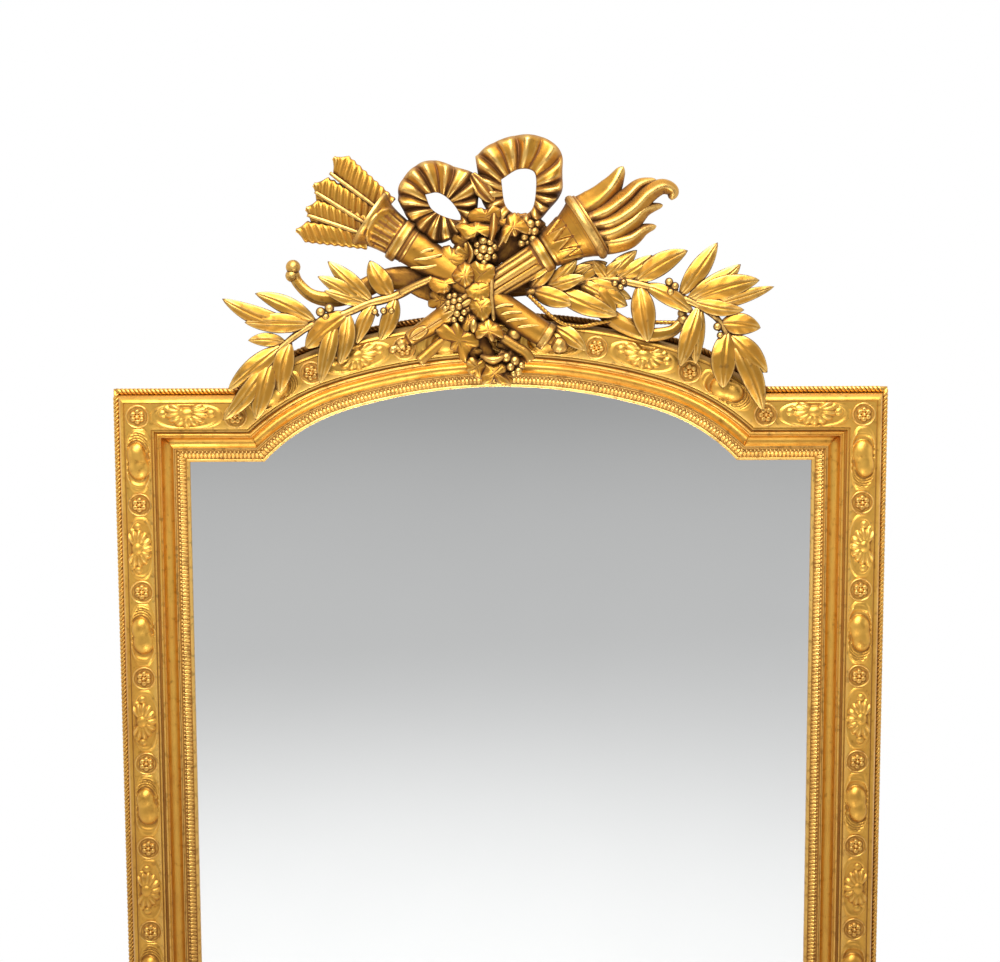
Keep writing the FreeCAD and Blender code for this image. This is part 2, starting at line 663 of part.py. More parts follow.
def arch_place(travel, inset):
    """The point on an inset line of the arch at a length from the crown, and its lean from upright."""
    crown = (crown_radius + frame_width - inset).value
    haunch = (haunch_radius + frame_width - inset).value
    side = math.copysign(1, travel)
    flat = crown * math.radians(lean)
    if abs(travel) <= flat:
        angle = travel / crown
        return crown * math.sin(angle), crown_z.value + crown * math.cos(angle), math.degrees(angle)
    angle = math.radians(lean) + (abs(travel) - flat) / haunch
    x = haunch_x.value + haunch * math.sin(angle)
    return side * x, haunch_z.value + haunch * math.cos(angle), side * math.degrees(angle)


STILE_INTERVALS = 11
BOTTOM_INTERVALS = ("shell", "cabochon", "shell", "cabochon", "cabochon", "shell", "cabochon", "shell")
ARCH_INTERVALS = ("cabochon", "shell", "cabochon")


def frieze_places():
    """Where each kind of ornament stands in the frieze, as (x, z, turn about the view from the front)."""
    line = s.frieze_line.value
    side, top = half_width.value - line, s.shoulder_height.value - line
    knee = knee_x(s.frieze_line).value + s.knee_rosette.value
    places = {"rosette": [], "cabochon": [], "shell": []}
    pitch = (top - line) / STILE_INTERVALS
    for sign in (-1, 1):
        for number in range(STILE_INTERVALS + 1):
            places["rosette"].append((sign * side, line + pitch * number, 90))
        for number in range(STILE_INTERVALS):
            kind = "shell" if number % 2 else "cabochon"
            places[kind].append((sign * side, line + pitch * (number + 0.5), 90))
        places["shell"].append((sign * (side + knee) / 2, top, 0))
        places["rosette"].append((sign * knee, top, 0))
        for number, kind in enumerate(ARCH_INTERVALS):
            places[kind].append(arch_place(sign * arch_pitch.value * (number + 0.5), s.frieze_line))
        for number in (1, 2):
            places["rosette"].append(arch_place(sign * arch_pitch.value * number, s.frieze_line))
    places["rosette"].append(arch_place(0, s.frieze_line))
    step = 2 * side / len(BOTTOM_INTERVALS)
    for number, kind in enumerate(BOTTOM_INTERVALS):
        places[kind].append((-side + step * (number + 0.5), line, 0))
        if number:
            places["rosette"].append((-side + step * number, line, 0))
    return places


def rosette_shape():
    return Part.makeCone(s.rosette_radius.value, s.rosette_radius.value / 2, s.rosette_height.value,
                         Vector(), Vector(0, -1, 0))


def cabochon_shape():
    """Part of an egg with its long axis along X, sunk a little in the frieze."""
    length, radius, sink = s.cabochon_length.value / 2, s.cabochon_radius.value, s.cabochon_sink.value
    reach = length / math.sqrt(1 - (sink / radius) ** 2)
    curve = Part.Arc(Part.Ellipse(Vector(0, sink, 0), reach, radius), 0, math.pi).toShape()
    chord = Part.makeLine(Vector(-reach, sink, 0), Vector(reach, sink, 0))
    egg = Part.Face(Part.Wire([curve, chord])).revolve(Vector(0, sink, 0), Vector(1, 0, 0), 360)
    return egg.common(Part.makeBox(2 * reach, radius, 2 * radius, Vector(-reach, -radius, -radius)))


def shell_shape():
    rim = Part.Ellipse(Vector(), s.shell_length.value / 2, s.shell_width.value / 2)
    rim.Axis = Vector(0, -1, 0)
    return Part.Face(Part.Wire([rim.toShape()])).extrude(Vector(0, -s.shell_height.value, 0))


def frieze_carving():
    shapes = {"rosette": rosette_shape(), "cabochon": cabochon_shape(), "shell": shell_shape()}
    for kind, places in frieze_places().items():
        copies = []
        for x, z, turn in places:
            copy = shapes[kind].copy()
            copy.Placement = Placement(Vector(x, -frieze_depth.value, z), Rotation(Vector(0, 1, 0), turn))
            copies.append(copy)
        piece("frieze_" + kind + "s", carved(kind + "_carving", Part.makeCompound(copies)))


# Crest. Points are (x, height above the crest's zero line, rise over the frieze's face)

def spot(x, z, rise):
    return Vector(x, -frieze_depth.value - rise, crest_zero.value + z)


ARC_SHARE = 0.45


def rounded(points):
    """A path of straight runs joined by tangent arcs, each as large as its two runs allow."""
    edges, start = [], points[0]
    for before, corner, after in zip(points, points[1:], points[2:]):
        short = ARC_SHARE * min((corner - before).Length, (after - corner).Length)
        one, two = (before - corner).normalize(), (after - corner).normalize()
        first, last = corner + one * short, corner + two * short
        half = (one + two).normalize()
        turn = one.getAngle(two) / 2
        middle = corner + half * (short / math.cos(turn) - short * math.tan(turn))
        edges += [Part.LineSegment(start, first).toShape(), Part.Arc(first, middle, last).toShape()]
        start = last
    edges.append(Part.LineSegment(start, points[-1]).toShape())
    return Part.Wire(edges)


def tube(points, radius):
    path = rounded(points)
    rim = Part.Wire([Part.makeCircle(radius, points[0], points[1] - points[0])])
    return path.makePipeShell([rim], True, False)


def strip(points, width, thickness):
    """A strip of rectangular section along a path that keeps its depth."""
    path = rounded(points)
    along = (points[1] - points[0]).normalize()
    wide = along.cross(Vector(0, 1, 0)).normalize() * (width / 2)
    deep = Vector(0, thickness / 2, 0)
    corners = [wide + deep, wide - deep, -wide - deep, -wide + deep, wide + deep]
    section = Part.makePolygon([points[0] + corner for corner in corners])
    return path.makePipeShell([section], True, False)


def blade(base, tip, width, thickness):
    """A leaf or feather: two arcs between its ends, as a thin plate facing forward."""
    along = tip - base
    across = along.cross(Vector(0, -1, 0)).normalize()
    through = along.cross(across).normalize() * thickness
    middle = (base + tip) / 2 - through / 2
    base, tip = base - through / 2, tip - through / 2
    sides = [Part.Arc(base, middle + across * (width / 2), tip), Part.Arc(tip, middle - across * (width / 2), base)]
    return Part.Face(Part.Wire([side.toShape() for side in sides])).extrude(through)


def plate(outline, back, front):
    """A flat plate inside curves through points, each list of points one smooth curve to the next corner."""
    edges = []
    for run in outline:
        curve = Part.BSplineCurve()
        curve.interpolate([spot(x, z, back) for x, z in run])
        edges.append(curve.toShape())
    return Part.Face(Part.Wire(edges)).extrude(Vector(0, back - front, 0))


def rounded_plate(outer, inner, back, front):
    """A plate between two closed smooth curves."""
    solids = []
    for points in (outer, inner):
        curve = Part.BSplineCurve()
        curve.interpolate([spot(x, z, back) for x, z in points], PeriodicFlag=True)
        solids.append(Part.Face(Part.Wire([curve.toShape()])).extrude(Vector(0, back - front, 0)))
    return solids[0].cut(solids[1])


def turned(name, stations, middle, rise, angle, back, under):
    """A turned piece with a flat back, let over the pieces under it: stations are (place on the axis, radius)."""
    x, z = middle
    outline = [(as_length(stations[0][0]), as_length(0))]
    outline += [(as_length(place_along), as_length(radius)) for place_along, radius in stations]
    outline.append((as_length(stations[-1][0]), as_length(0)))
    body = doc.addObject("PartDesign::Body", name + "_body")
    sketch = body.newObject("Sketcher::SketchObject", name + "_section")
    plane = [feature for feature in body.Origin.OriginFeatures if feature.Role == "XY_Plane"]
    sketch.AttachmentSupport = [(plane[0], "")]
    sketch.MapMode = "FlatFace"
    draw(sketch, outline)
    revolution = body.newObject("PartDesign::Revolution", name + "_turning")
    revolution.Profile = sketch
    revolution.ReferenceAxis = (sketch, ["H_Axis"])
    revolution.Angle = 360
    body.Tip = revolution
    place(body, x, frieze_depth + rise, crest_zero + z, Rotation(Vector(0, 1, 0), -angle))
    reach = 2 * (stations[-1][0] - stations[0][0])
    wall = box(name + "_back", as_length(x - reach), as_length(x + reach), frieze_depth - reach,
               frieze_depth + back, crest_zero + z - reach, crest_zero + z + reach)
    return cut(name + "_flat", body, [wall] + under)


TORCH_MIDDLE, TORCH_TILT = (0, 149), 32
TORCH_RISE, TORCH_BACK = 0, -8
TORCH_STATIONS = (
    (-184, 3), (-178, 6), (-170, 4), (-166, 8), (-156, 6), (-150, 11), (-92, 16), (-86, 20), (66, 23), (66, 26),
    (76, 26), (76, 23), (84, 24), (136, 42), (138, 50), (150, 50), (150, 40))
QUIVER_MIDDLE, QUIVER_TILT = (-138, 207), -33.6
QUIVER_RISE, QUIVER_BACK = -12, -20
QUIVER_STATIONS = (
    (-56, 40), (-30, 32), (-7, 28), (-7, 32), (7, 32), (7, 25), (60, 23), (140, 21), (238, 18), (238, 20),
    (248, 20), (248, 8), (256, 8), (262, 11), (270, 10), (277, 3))
ARROWS = (
    (-166, 240, -228, 318, 30), (-164, 234, -252, 288, 32), (-166, 228, -266, 258, 30), (-170, 220, -279, 226, 28))
FLAME = (
    ((122, 262), (138, 270), (155, 287), (166, 305), (172, 309)),
    ((172, 309), (178, 299), (176, 285)), ((176, 285), (195, 288), (212, 288)), ((212, 288), (212, 284)),
    ((212, 284), (230, 282), (240, 271), (232, 257), (222, 254)), ((222, 254), (205, 249), (197, 237)),
    ((197, 237), (208, 231), (214, 222)), ((214, 222), (195, 212), (175, 201), (155, 200)),
    ((155, 200), (140, 194)), ((140, 194), (106, 250)), ((106, 250), (122, 262)))
RIBBON_LEFT = (
    (-142, 262), (-139, 285), (-118, 309), (-92, 317), (-62, 308), (-32, 295), (-30, 262), (-38, 232), (-72, 206),
    (-95, 205), (-125, 232))
RIBBON_LEFT_HOLE = ((-104, 270), (-85, 272), (-66, 258), (-54, 236), (-74, 238), (-95, 250))
RIBBON_RIGHT = (
    (-34, 322), (-12, 339), (25, 351), (60, 348), (85, 328), (87, 300), (86, 272), (70, 250), (45, 228), (0, 232),
    (-24, 258), (-30, 295))
RIBBON_RIGHT_HOLE = ((2, 290), (26, 304), (48, 300), (50, 272), (44, 248), (27, 241), (8, 254))
BOW_LEFT = (
    (-40, 128), (-80, 132), (-125, 152), (-165, 151), (-200, 136), (-235, 125), (-265, 130), (-285, 148), (-291, 166))
BOW_RIGHT = ((-40, 128), (30, 140), (90, 138), (130, 119), (165, 92), (205, 73), (238, 77), (256, 92))
BOW_RISE = -26
STRING = (
    (40, 130, 4), (66, 105, 8), (88, 90, 6), (112, 86, -2), (138, 91, -10), (170, 96, -14), (205, 92, -17),
    (252, 91, -18))
ARROW_FAN = 4
FLAME_BACK, FLAME_FRONT = -6, 16
RIBBON_BACK, RIBBON_LEFT_FRONT, RIBBON_RIGHT_FRONT = -14, 8, 10
LAUREL_RISE, LAUREL_CLIMB = -6, 20
LAUREL_FROM, LAUREL_TO = 120, 322
LEAF_LIFT = 1.1
LEFT_STEM = ((-62, 157), (-102, 151), (-148, 129), (-185, 119), (-220, 104), (-262, 90), (-300, 64), (-322, 40))
LEFT_LEAVES = (
    (-178, 121, -240, 178, 18, 4), (-190, 117, -254, 157, 16, 6), (-150, 128, -182, 179, 22, 0),
    (-184, 119, -245, 137, 14, 8), (-257, 94, -341, 134, 18, 4), (-275, 84, -386, 127, 20, 8),
    (-265, 92, -355, 94, 20, 12), (-300, 67, -351, 69, 14, 6), (-312, 52, -344, 47, 10, 4),
    (-305, 62, -380, 1, 20, 6), (-293, 66, -308, -5, 22, 8), (-322, 42, -388, -42, 18, 8),
    (-318, 45, -342, -42, 22, 10), (-212, 106, -272, 57, 26, 8), (-212, 106, -225, 35, 18, 12),
    (-228, 101, -252, 8, 18, 14), (-174, 121, -202, 62, 16, 2), (-146, 129, -170, 65, 18, 2))
LEFT_BERRIES = (
    (-250, 108, 7), (-238, 113, 7), (-243, 101, 6), (-175, 108, 5), (-163, 109, 5), (-152, 109, 5))
RIGHT_STEM = ((36, 133), (90, 144), (145, 152), (200, 143), (252, 126), (298, 101), (322, 64))
RIGHT_LEAVES = (
    (42, 138, 80, 186, 18, 16), (62, 140, 107, 180, 16, 14), (90, 146, 150, 175, 18, 6), (145, 152, 191, 192, 16, 4),
    (162, 152, 212, 185, 16, 4), (187, 147, 261, 191, 22, 6), (250, 128, 302, 202, 20, 4),
    (260, 124, 334, 172, 20, 6), (265, 122, 360, 150, 24, 8), (285, 112, 381, 141, 14, 2),
    (267, 121, 339, 109, 16, 10), (306, 90, 362, 84, 22, 6), (320, 75, 372, 22, 24, 6), (317, 80, 311, 0, 26, 8),
    (321, 70, 367, -32, 22, 4), (277, 114, 250, 30, 20, 10), (280, 112, 273, 33, 16, 6), (200, 144, 270, 104, 18, 8),
    (194, 145, 206, 64, 24, 14), (125, 149, 178, 115, 22, 8), (118, 147, 160, 100, 24, 12), (42, 137, 105, 118, 20, 14))
RIGHT_BERRIES = (
    (160, 146, 5), (172, 148, 5), (168, 141, 5), (235, 148, 6), (243, 142, 6), (237, 134, 6), (302, 86, 6),
    (306, 74, 5))
GARLAND_DROOP = 2
GARLAND_CORE = (
    (-28, 238, -2), (-24, 205, 22), (-36, 160, 26), (-40, 112, 26), (-28, 68, 26), (-14, 42, 20), (-6, 12, 12))
GARLAND_LEAVES = (
    (-26, 232, -62, 222, 24, 16), (-26, 232, 2, 214, 22, 18), (-6, 242, 38, 222, 30, 14), (-26, 232, 8, 252, 22, 12),
    (-40, 176, -96, 184, 40, 24), (-38, 158, -102, 150, 20, 26), (-34, 172, -14, 118, 34, 34),
    (-40, 122, -86, 76, 32, 26), (-30, 100, 2, 74, 34, 32), (-34, 78, -56, 26, 30, 24), (-24, 70, 20, 52, 24, 24),
    (-16, 46, -46, 14, 26, 22), (-12, 40, 12, 4, 26, 20), (-10, 30, -22, 2, 24, 20), (20, 66, 40, 36, 22, 14))
GRAPES = (
    (-25, 205, 7), (-16, 196, 7), (-10, 206, 7), (-22, 190, 6), (35, 233, 6), (45, 225, 6), (40, 212, 6),
    (28, 205, 6), (-75, 125, 6), (-62, 120, 6), (-54, 110, 6), (-66, 105, 6), (-40, 94, 8), (6, 46, 6), (15, 38, 6),
    (20, 28, 6), (28, 24, 5), (12, 78, 10))


def laurel_rise(x):
    """The stem comes forward as it runs outward, so that its leaves hang clear of the frieze."""
    share = (abs(x) - LAUREL_FROM) / (LAUREL_TO - LAUREL_FROM)
    return LAUREL_RISE + LAUREL_CLIMB * min(max(share, 0), 1)


def laurel(stem, leaves, berries):
    thickness, radius = s.leaf_thickness.value, s.stem_radius.value
    solids = []
    for x0, z0, x1, z1, width, lift in leaves:
        rise = laurel_rise(x0) + LEAF_LIFT
        solids.append(blade(spot(x0, z0, rise), spot(x1, z1, rise + lift), width, thickness))
    points = [spot(x, z, laurel_rise(x)) for x, z in stem]
    for x, z, size in berries:
        berry = spot(x, z, laurel_rise(x) + radius)
        solids.append(Part.makeSphere(size, berry))
        near = min(points, key=lambda point: (point - berry).Length)
        solids.append(Part.makeCylinder(s.twig_radius.value, (berry - near).Length, near, berry - near))
    return [tube(points, radius)] + solids


def garland():
    core = [spot(x, z, rise) for x, z, rise in GARLAND_CORE]
    solids = []
    for x0, z0, x1, z1, width, rise in GARLAND_LEAVES:
        solids.append(blade(
            spot(x0, z0, rise), spot(x1, z1, rise - GARLAND_DROOP), width, s.broad_leaf_thickness.value))
        near = min(core, key=lambda point: (point - spot(x0, z0, rise)).Length)
        reach = spot(x0, z0, rise) - near
        if reach.Length > s.stem_radius.value:
            solids.append(Part.makeCylinder(s.stem_radius.value, reach.Length, near, reach))
    for x, z, size in GRAPES:
        near = min(core, key=lambda point: abs(point.x - x) + abs(point.z - crest_zero.value - z))
        grape = Vector(x, near.y - size, crest_zero.value + z)
        solids.append(Part.makeSphere(size, grape))
        solids.append(Part.makeCylinder(s.twig_radius.value, (grape - near).Length, near, grape - near))
    return [tube(core, s.core_radius.value)] + solids


def largest(shape):
    """The main solid of a cut carving, without the chips that the cut leaves."""
    return max(shape.Solids, key=lambda solid: solid.Volume, default=None)


def seated(solids, neighbours):
    """Carvings let into the pieces that they lie on."""
    done = []
    for solid in solids:
        for neighbour in neighbours:
            if solid and solid.BoundBox.intersect(neighbour.BoundBox):
                solid = largest(solid.cut(neighbour))
        done.append(solid)
    return [solid for solid in done if solid]


def crest():
    frame = [solid for solid in pieces if solid.Label in (
        "moulding_arch", "rope_bead_arch", "frieze_rosettes", "frieze_cabochons")]
    torch = piece("torch", turned(
        "torch", TORCH_STATIONS, TORCH_MIDDLE, TORCH_RISE, TORCH_TILT, TORCH_BACK, frame))
    quiver = piece("quiver", turned(
        "quiver", QUIVER_STATIONS, QUIVER_MIDDLE, QUIVER_RISE, QUIVER_TILT, QUIVER_BACK, frame + [torch]))
    doc.recompute()
    limb = [s.limb_width.value, s.limb_thickness.value]
    bow = [strip([spot(x, z, BOW_RISE) for x, z in side], *limb) for side in (BOW_LEFT, BOW_RIGHT)]
    tip = spot(*BOW_LEFT[-1], BOW_RISE)
    bow = bow[0].fuse([bow[1], Part.makeSphere(limb[0] / 2, tip)])
    carvings = {
        "archery_bow": [bow],
        "arrows": [blade(spot(x0, z0, QUIVER_RISE), spot(x1, z1, QUIVER_RISE + ARROW_FAN * number), width,
                         s.feather_thickness.value) for number, (x0, z0, x1, z1, width) in enumerate(ARROWS)],
        "torch_flame": [plate(FLAME, FLAME_BACK, FLAME_FRONT)],
        "ribbon_left": [rounded_plate(RIBBON_LEFT, RIBBON_LEFT_HOLE, RIBBON_BACK, RIBBON_LEFT_FRONT)],
        "ribbon_right": [rounded_plate(RIBBON_RIGHT, RIBBON_RIGHT_HOLE, RIBBON_BACK, RIBBON_RIGHT_FRONT)],
        "bow_string": [tube([spot(*point) for point in STRING], s.string_radius.value)],
        "laurel_left": laurel(LEFT_STEM, LEFT_LEAVES, LEFT_BERRIES),
        "laurel_right": laurel(RIGHT_STEM, RIGHT_LEAVES, RIGHT_BERRIES),
        "fruit_garland": garland()}
    neighbours = [solid.Shape for solid in (torch, quiver)]
    for solid in pieces:
        if solid.Label.startswith(("moulding", "rope_bead", "frieze")):
            neighbours += solid.Shape.Solids
    for node, solids in carvings.items():
        solids = seated(solids, neighbours)
        neighbours += solids
        piece(node, carved(node + "_carving", Part.makeCompound(solids)))


def crest_fixings():
    """A batten housed in the header's back, with packing blocks between it and the crest."""
    left = -s.batten_middle - s.batten_width / 2
    right = left + s.batten_width
    foot, head = crest_zero + s.batten_foot, crest_zero + s.batten_head
    batten = box("batten_blank", left, right, 0, s.batten_thickness, foot, head)
    packs = [
        box("pack_low", left, right, s.batten_thickness, frieze_depth + QUIVER_BACK,
            crest_zero + s.pack_low_foot, crest_zero + s.pack_low_head),
        box("pack_high", left, right, s.batten_thickness, frieze_depth + RIBBON_BACK,
            crest_zero + s.pack_high_foot, crest_zero + s.pack_high_head)]
    screws, holes = [], []
    for number in (1, 2):
        z = foot + s.screw_depth * number * 2 - s.screw_depth
        parts = []
        for kind, back, front, radius in (
                ("shank", 0, s.crest_screw_length, s.screw_radius), ("head", 0, s.screw_head_height, s.screw_head)):
            parts.append(rod(f"crest_{kind}_{number}", -s.batten_middle, back, front, z, radius))
        screws.append(fused(f"crest_screw_{number}", parts))
        holes.append(rod(f"crest_hole_{number}", -s.batten_middle, 0, s.crest_screw_length, z, s.screw_radius))
    piece("crest_screws", group("crest_fasteners", screws))
    piece("crest_batten", cut("batten", batten, screws))
    piece("crest_packing", group("packing", packs))
    return batten, holes


def check_and_write():
    doc.recompute()
    for thing in doc.Objects:
        if {"Invalid", "Error"} & set(thing.State):
            raise RuntimeError(f"{thing.Name} failed: {thing.State}")
    os.makedirs("parts", exist_ok=True)
    for solid in pieces:
        shape = solid.Shape
        if shape.isNull() or not shape.isValid() or not shape.Solids:
            raise RuntimeError(f"{solid.Label} has no valid shape")
        print(f"{solid.Label}: {len(shape.Solids)} solids, {len(shape.Faces)} faces, {shape.Volume:.0f} mm3")
        shape.exportStep(os.path.join("parts", solid.Label + ".step"))
    print(len(pieces), "pieces")


frame_members()
frieze_carving()
glazing()
base_frame(turn_buttons(), hangers(), *crest_fixings())
doc.recompute()
crest()
check_and_write()
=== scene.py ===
"""Giltwood mirror with a carved trophy crest: its carved and gilded pieces and their stage."""
from math import asin, cos, pi, radians, sin

import bmesh
import bpy
import numpy as np
from bpy.props import FloatProperty, FloatVectorProperty, IntProperty, PointerProperty
from bpy.types import Operator, Panel, PropertyGroup
from mathutils import Euler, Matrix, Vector
from mathutils.bvhtree import BVHTree


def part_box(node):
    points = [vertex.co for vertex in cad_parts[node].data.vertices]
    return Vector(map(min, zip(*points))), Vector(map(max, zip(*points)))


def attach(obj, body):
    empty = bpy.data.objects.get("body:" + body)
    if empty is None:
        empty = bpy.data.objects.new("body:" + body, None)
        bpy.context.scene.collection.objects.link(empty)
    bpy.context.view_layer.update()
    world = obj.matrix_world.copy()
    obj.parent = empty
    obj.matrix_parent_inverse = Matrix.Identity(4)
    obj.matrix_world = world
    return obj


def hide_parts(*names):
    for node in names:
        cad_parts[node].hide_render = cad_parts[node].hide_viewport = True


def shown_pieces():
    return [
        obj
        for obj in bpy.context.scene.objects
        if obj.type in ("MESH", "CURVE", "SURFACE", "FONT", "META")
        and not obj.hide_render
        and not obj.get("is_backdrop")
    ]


bl_info = {
    "name": "Giltwood trophy mirror",
    "version": (1, 0, 0),
    "blender": (4, 5, 0),
    "location": "View3D > Sidebar > Mirror",
    "description": "Carves and gilds the mirror frame and its crest, and sets the stage",
    "category": "Object",
}

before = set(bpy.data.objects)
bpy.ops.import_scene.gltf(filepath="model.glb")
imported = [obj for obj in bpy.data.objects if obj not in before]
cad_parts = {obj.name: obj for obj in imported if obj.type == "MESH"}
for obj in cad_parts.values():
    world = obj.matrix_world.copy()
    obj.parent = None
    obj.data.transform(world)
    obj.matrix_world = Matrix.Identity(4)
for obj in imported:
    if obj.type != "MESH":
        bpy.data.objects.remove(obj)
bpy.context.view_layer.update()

MM = 0.001
HALF_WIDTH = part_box("rope_bead_bottom")[1].x / MM
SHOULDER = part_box("rope_bead_shoulder_left")[1].z / MM
FRIEZE = -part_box("moulding_stile_left")[0].y / MM
SIGHT = HALF_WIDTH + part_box("sight_slip_stile_left")[1].x / MM
FORWARD = np.array([0.0, -1.0, 0.0])

# The arch over the glass: a flat crown between two tighter haunches, as shares of the width.
CROWN = 0.682 * 2.0 * HALF_WIDTH
HAUNCH = 0.2473 * 2.0 * HALF_WIDTH
LEAN = asin(0.199 / 0.682)
CROWN_Z = SHOULDER - CROWN
HAUNCH_X = (CROWN - HAUNCH) * sin(LEAN)
HAUNCH_Z = CROWN_Z + (CROWN - HAUNCH) * cos(LEAN)
CROWN_SHARE = 0.65

MEMBERS = ("stile_left", "shoulder_left", "arch", "shoulder_right", "stile_right", "bottom")

# Frieze: the line its ornaments sit on, and how they are spaced.
FRIEZE_LINE = 38.5
ARCH_PITCH = 0.1232 * 2.0 * HALF_WIDTH
STILE_CELLS = 11
BOTTOM_CELLS = "SKSKKSKS"
CELL_LENGTH = 125.3
GROUND = 1.5

# Moulding section from the outside to the sight: inset from the edge, depth from the wall.
MOULDING_BACK = ((84.7, 24.0), (3.0, 24.0))
MOULDING_OUTER = ((3.0, 27.4), (3.4, 28.0), (9.4, 28.0), (9.8, 28.4), (9.8, 38.0))
OVOLO_STEPS = 10
OVOLO_HEART = (19.0, 38.0)
OVOLO_REACH = (9.2, 18.0)
MOULDING_FACE = (
    (19.0, 56.0), (19.5, 55.2), (20.1, 55.2), (20.6, 56.0), (30.0, 56.0), (46.0, 56.0), (56.2, 56.0),
    (56.9, 55.6), (57.2, 52.4), (57.8, 52.2), (58.2, 53.0), (59.9, 53.0), (60.3, 52.6), (60.6, 48.2),
    (61.0, 47.8), (62.9, 47.8), (63.2, 49.2), (64.0, 50.2), (65.0, 50.5), (66.0, 50.2), (66.8, 49.2),
    (67.1, 47.8), (68.2, 47.8), (68.7, 48.4), (69.1, 48.1), (69.3, 46.0), (69.8, 43.0), (70.8, 40.2),
    (72.4, 37.8), (74.4, 36.1), (76.8, 35.3), (79.2, 35.4), (81.4, 36.1), (83.2, 37.1), (84.7, 38.4),
)
SLIP_SECTION = (
    (84.7, 24.0), (84.7, 38.2), (85.0, 38.6), (86.0, 38.6), (86.3, 38.2), (86.4, 37.3), (86.7, 37.3),
    (86.8, 38.0), (87.1, 38.3), (88.0, 38.3), (88.3, 37.9), (88.4, 35.4), (89.0, 34.9), (101.2, 29.3),
    (101.8, 29.0), (102.1, 29.9), (102.5, 30.1), (105.3, 28.6), (106.0, 27.4), (106.0, 24.2),
)
# The arch has no gold on its outer edge, behind the crest, and that edge is darkened further as painted
# shadow of the crest.
BARE_INSET = 18.0
BARE_DEPTH = 55.0
BARE_EDGE_PAINTED_SHADOW = 0.75
# Rope bead: its middle and flat back, and how much of a length the strands leave free at each mitre.
BEAD_MIDDLE = (4.9, 31.6)
BEAD_RADIUS = 4.0
BEAD_BACK = ((8.9, 28.1), (0.9, 28.1))
SHOULDER_TRIM = 0.035
MITRE_TRIM = 0.0045
# Tongues on the slip: the line of their middles, their length, and how much of the pitch they fill.
TIP_LINE = (95.2, 32.0)
TIP_LENGTH = 12.6
TIP_FILL = 0.96
# Panels of the frieze: half length, half height and the cuts across.
PANEL_REACH = 47.0
PANEL_HALF = 18.6
PANEL_CUTS = 39
# How far and in how many directions a point of the crest looks for its neighbours, to set its painted shade.
SHADE_REACH = 0.05
SHADE_RAYS = 10


def smooth_step(low, high, value):
    """Rises from 0 at low to 1 at high without a kink."""
    share = np.clip((value - low) / (high - low), 0.0, 1.0)
    return share * share * (3.0 - 2.0 * share)


def smooth_path(points, count):
    """A smooth line through the given points, at even steps."""
    points = np.asarray(points, float)
    padded = np.vstack([2 * points[0] - points[1], points, 2 * points[-1] - points[-2]])
    dense = []
    for index in range(len(points) - 1):
        before, start, end, after = padded[index:index + 4]
        share = np.linspace(0.0, 1.0, 16, endpoint=False)[:, None]
        dense.append(0.5 * (2 * start + (end - before) * share
                            + (2 * before - 5 * start + 4 * end - after) * share ** 2
                            + (3 * start - before - 3 * end + after) * share ** 3))
    dense.append(points[-1:])
    dense = np.vstack(dense)
    travel = np.concatenate([[0.0], np.cumsum(np.linalg.norm(np.diff(dense, axis=0), axis=1))])
    steps = np.linspace(0.0, travel[-1], count)
    return np.stack([np.interp(steps, travel, dense[:, axis]) for axis in range(3)], axis=1)


def along(values, count):
    """Given values spread evenly over a number of steps."""
    return np.interp(np.linspace(0.0, 1.0, count), np.linspace(0.0, 1.0, len(values)), values)


def spot(x, z, rise=0.0):
    """A place on the crest: across, up from the shoulder line, out from the frieze face."""
    return np.array([x, -(FRIEZE + rise), SHOULDER + z])


def unit(vectors):
    """Vectors of length one."""
    return vectors / np.maximum(np.linalg.norm(vectors, axis=-1, keepdims=True), 1e-9)


class Carving:
    """The closed skins of one carved piece, gathered in mm and made into one mesh."""

    def __init__(self):
        self.points = []
        self.quads = []
        self.tris = []
        self.count = 0

    def skin(self, grid, ring=False):
        """Adds a closed skin: rows of closed loops, capped at both ends, or joined into a ring."""
        rows, cols = grid.shape[:2]
        points = grid.reshape(-1, 3)
        row = np.arange(rows if ring else rows - 1)[:, None]
        col = np.arange(cols)[None, :]
        ahead = (row + 1) % rows
        beside = (col + 1) % cols
        quads = np.stack([row * cols + col, row * cols + beside,
                          ahead * cols + beside, ahead * cols + col], axis=-1).reshape(-1, 4)
        tris = np.zeros((0, 3), int)
        if not ring:
            middles = np.stack([grid[0].mean(axis=0), grid[-1].mean(axis=0)])
            first = np.stack([np.full(cols, rows * cols), beside[0], col[0]], axis=1)
            start = (rows - 1) * cols
            last = np.stack([np.full(cols, rows * cols + 1), start + col[0], start + beside[0]], axis=1)
            points = np.vstack([points, middles])
            tris = np.vstack([first, last])
        corners = np.vstack([quads[:, [0, 1, 2]], quads[:, [0, 2, 3]], tris])
        middle = points.mean(axis=0)
        a, b, c = (points[corners[:, side]] - middle for side in range(3))
        if np.einsum("ij,ij->i", a, np.cross(b, c)).sum() < 0.0:
            quads = quads[:, ::-1]
            tris = tris[:, ::-1]
        self.points.append(points)
        self.quads.append(quads + self.count)
        self.tris.append(tris + self.count)
        self.count += len(points)

    def mesh(self, name):
        """One smooth mesh in metres of all the skins."""
        points = np.vstack(self.points) * MM
        quads = np.vstack(self.quads)
        tris = np.vstack(self.tris)
        made = bpy.data.meshes.new(name)
        made.vertices.add(len(points))
        made.vertices.foreach_set("co", points.astype(np.float32).ravel())
        corners = np.concatenate([quads.ravel(), tris.ravel()])
        starts = np.concatenate([np.arange(len(quads)) * 4, len(quads) * 4 + np.arange(len(tris)) * 3])
        made.loops.add(len(corners))
        made.loops.foreach_set("vertex_index", corners.astype(np.int32))
        made.polygons.add(len(starts))
        made.polygons.foreach_set("loop_start", starts.astype(np.int32))
        made.polygons.foreach_set("use_smooth", np.ones(len(starts), bool))
        made.update(calc_edges=True)
        made.validate()
        return made


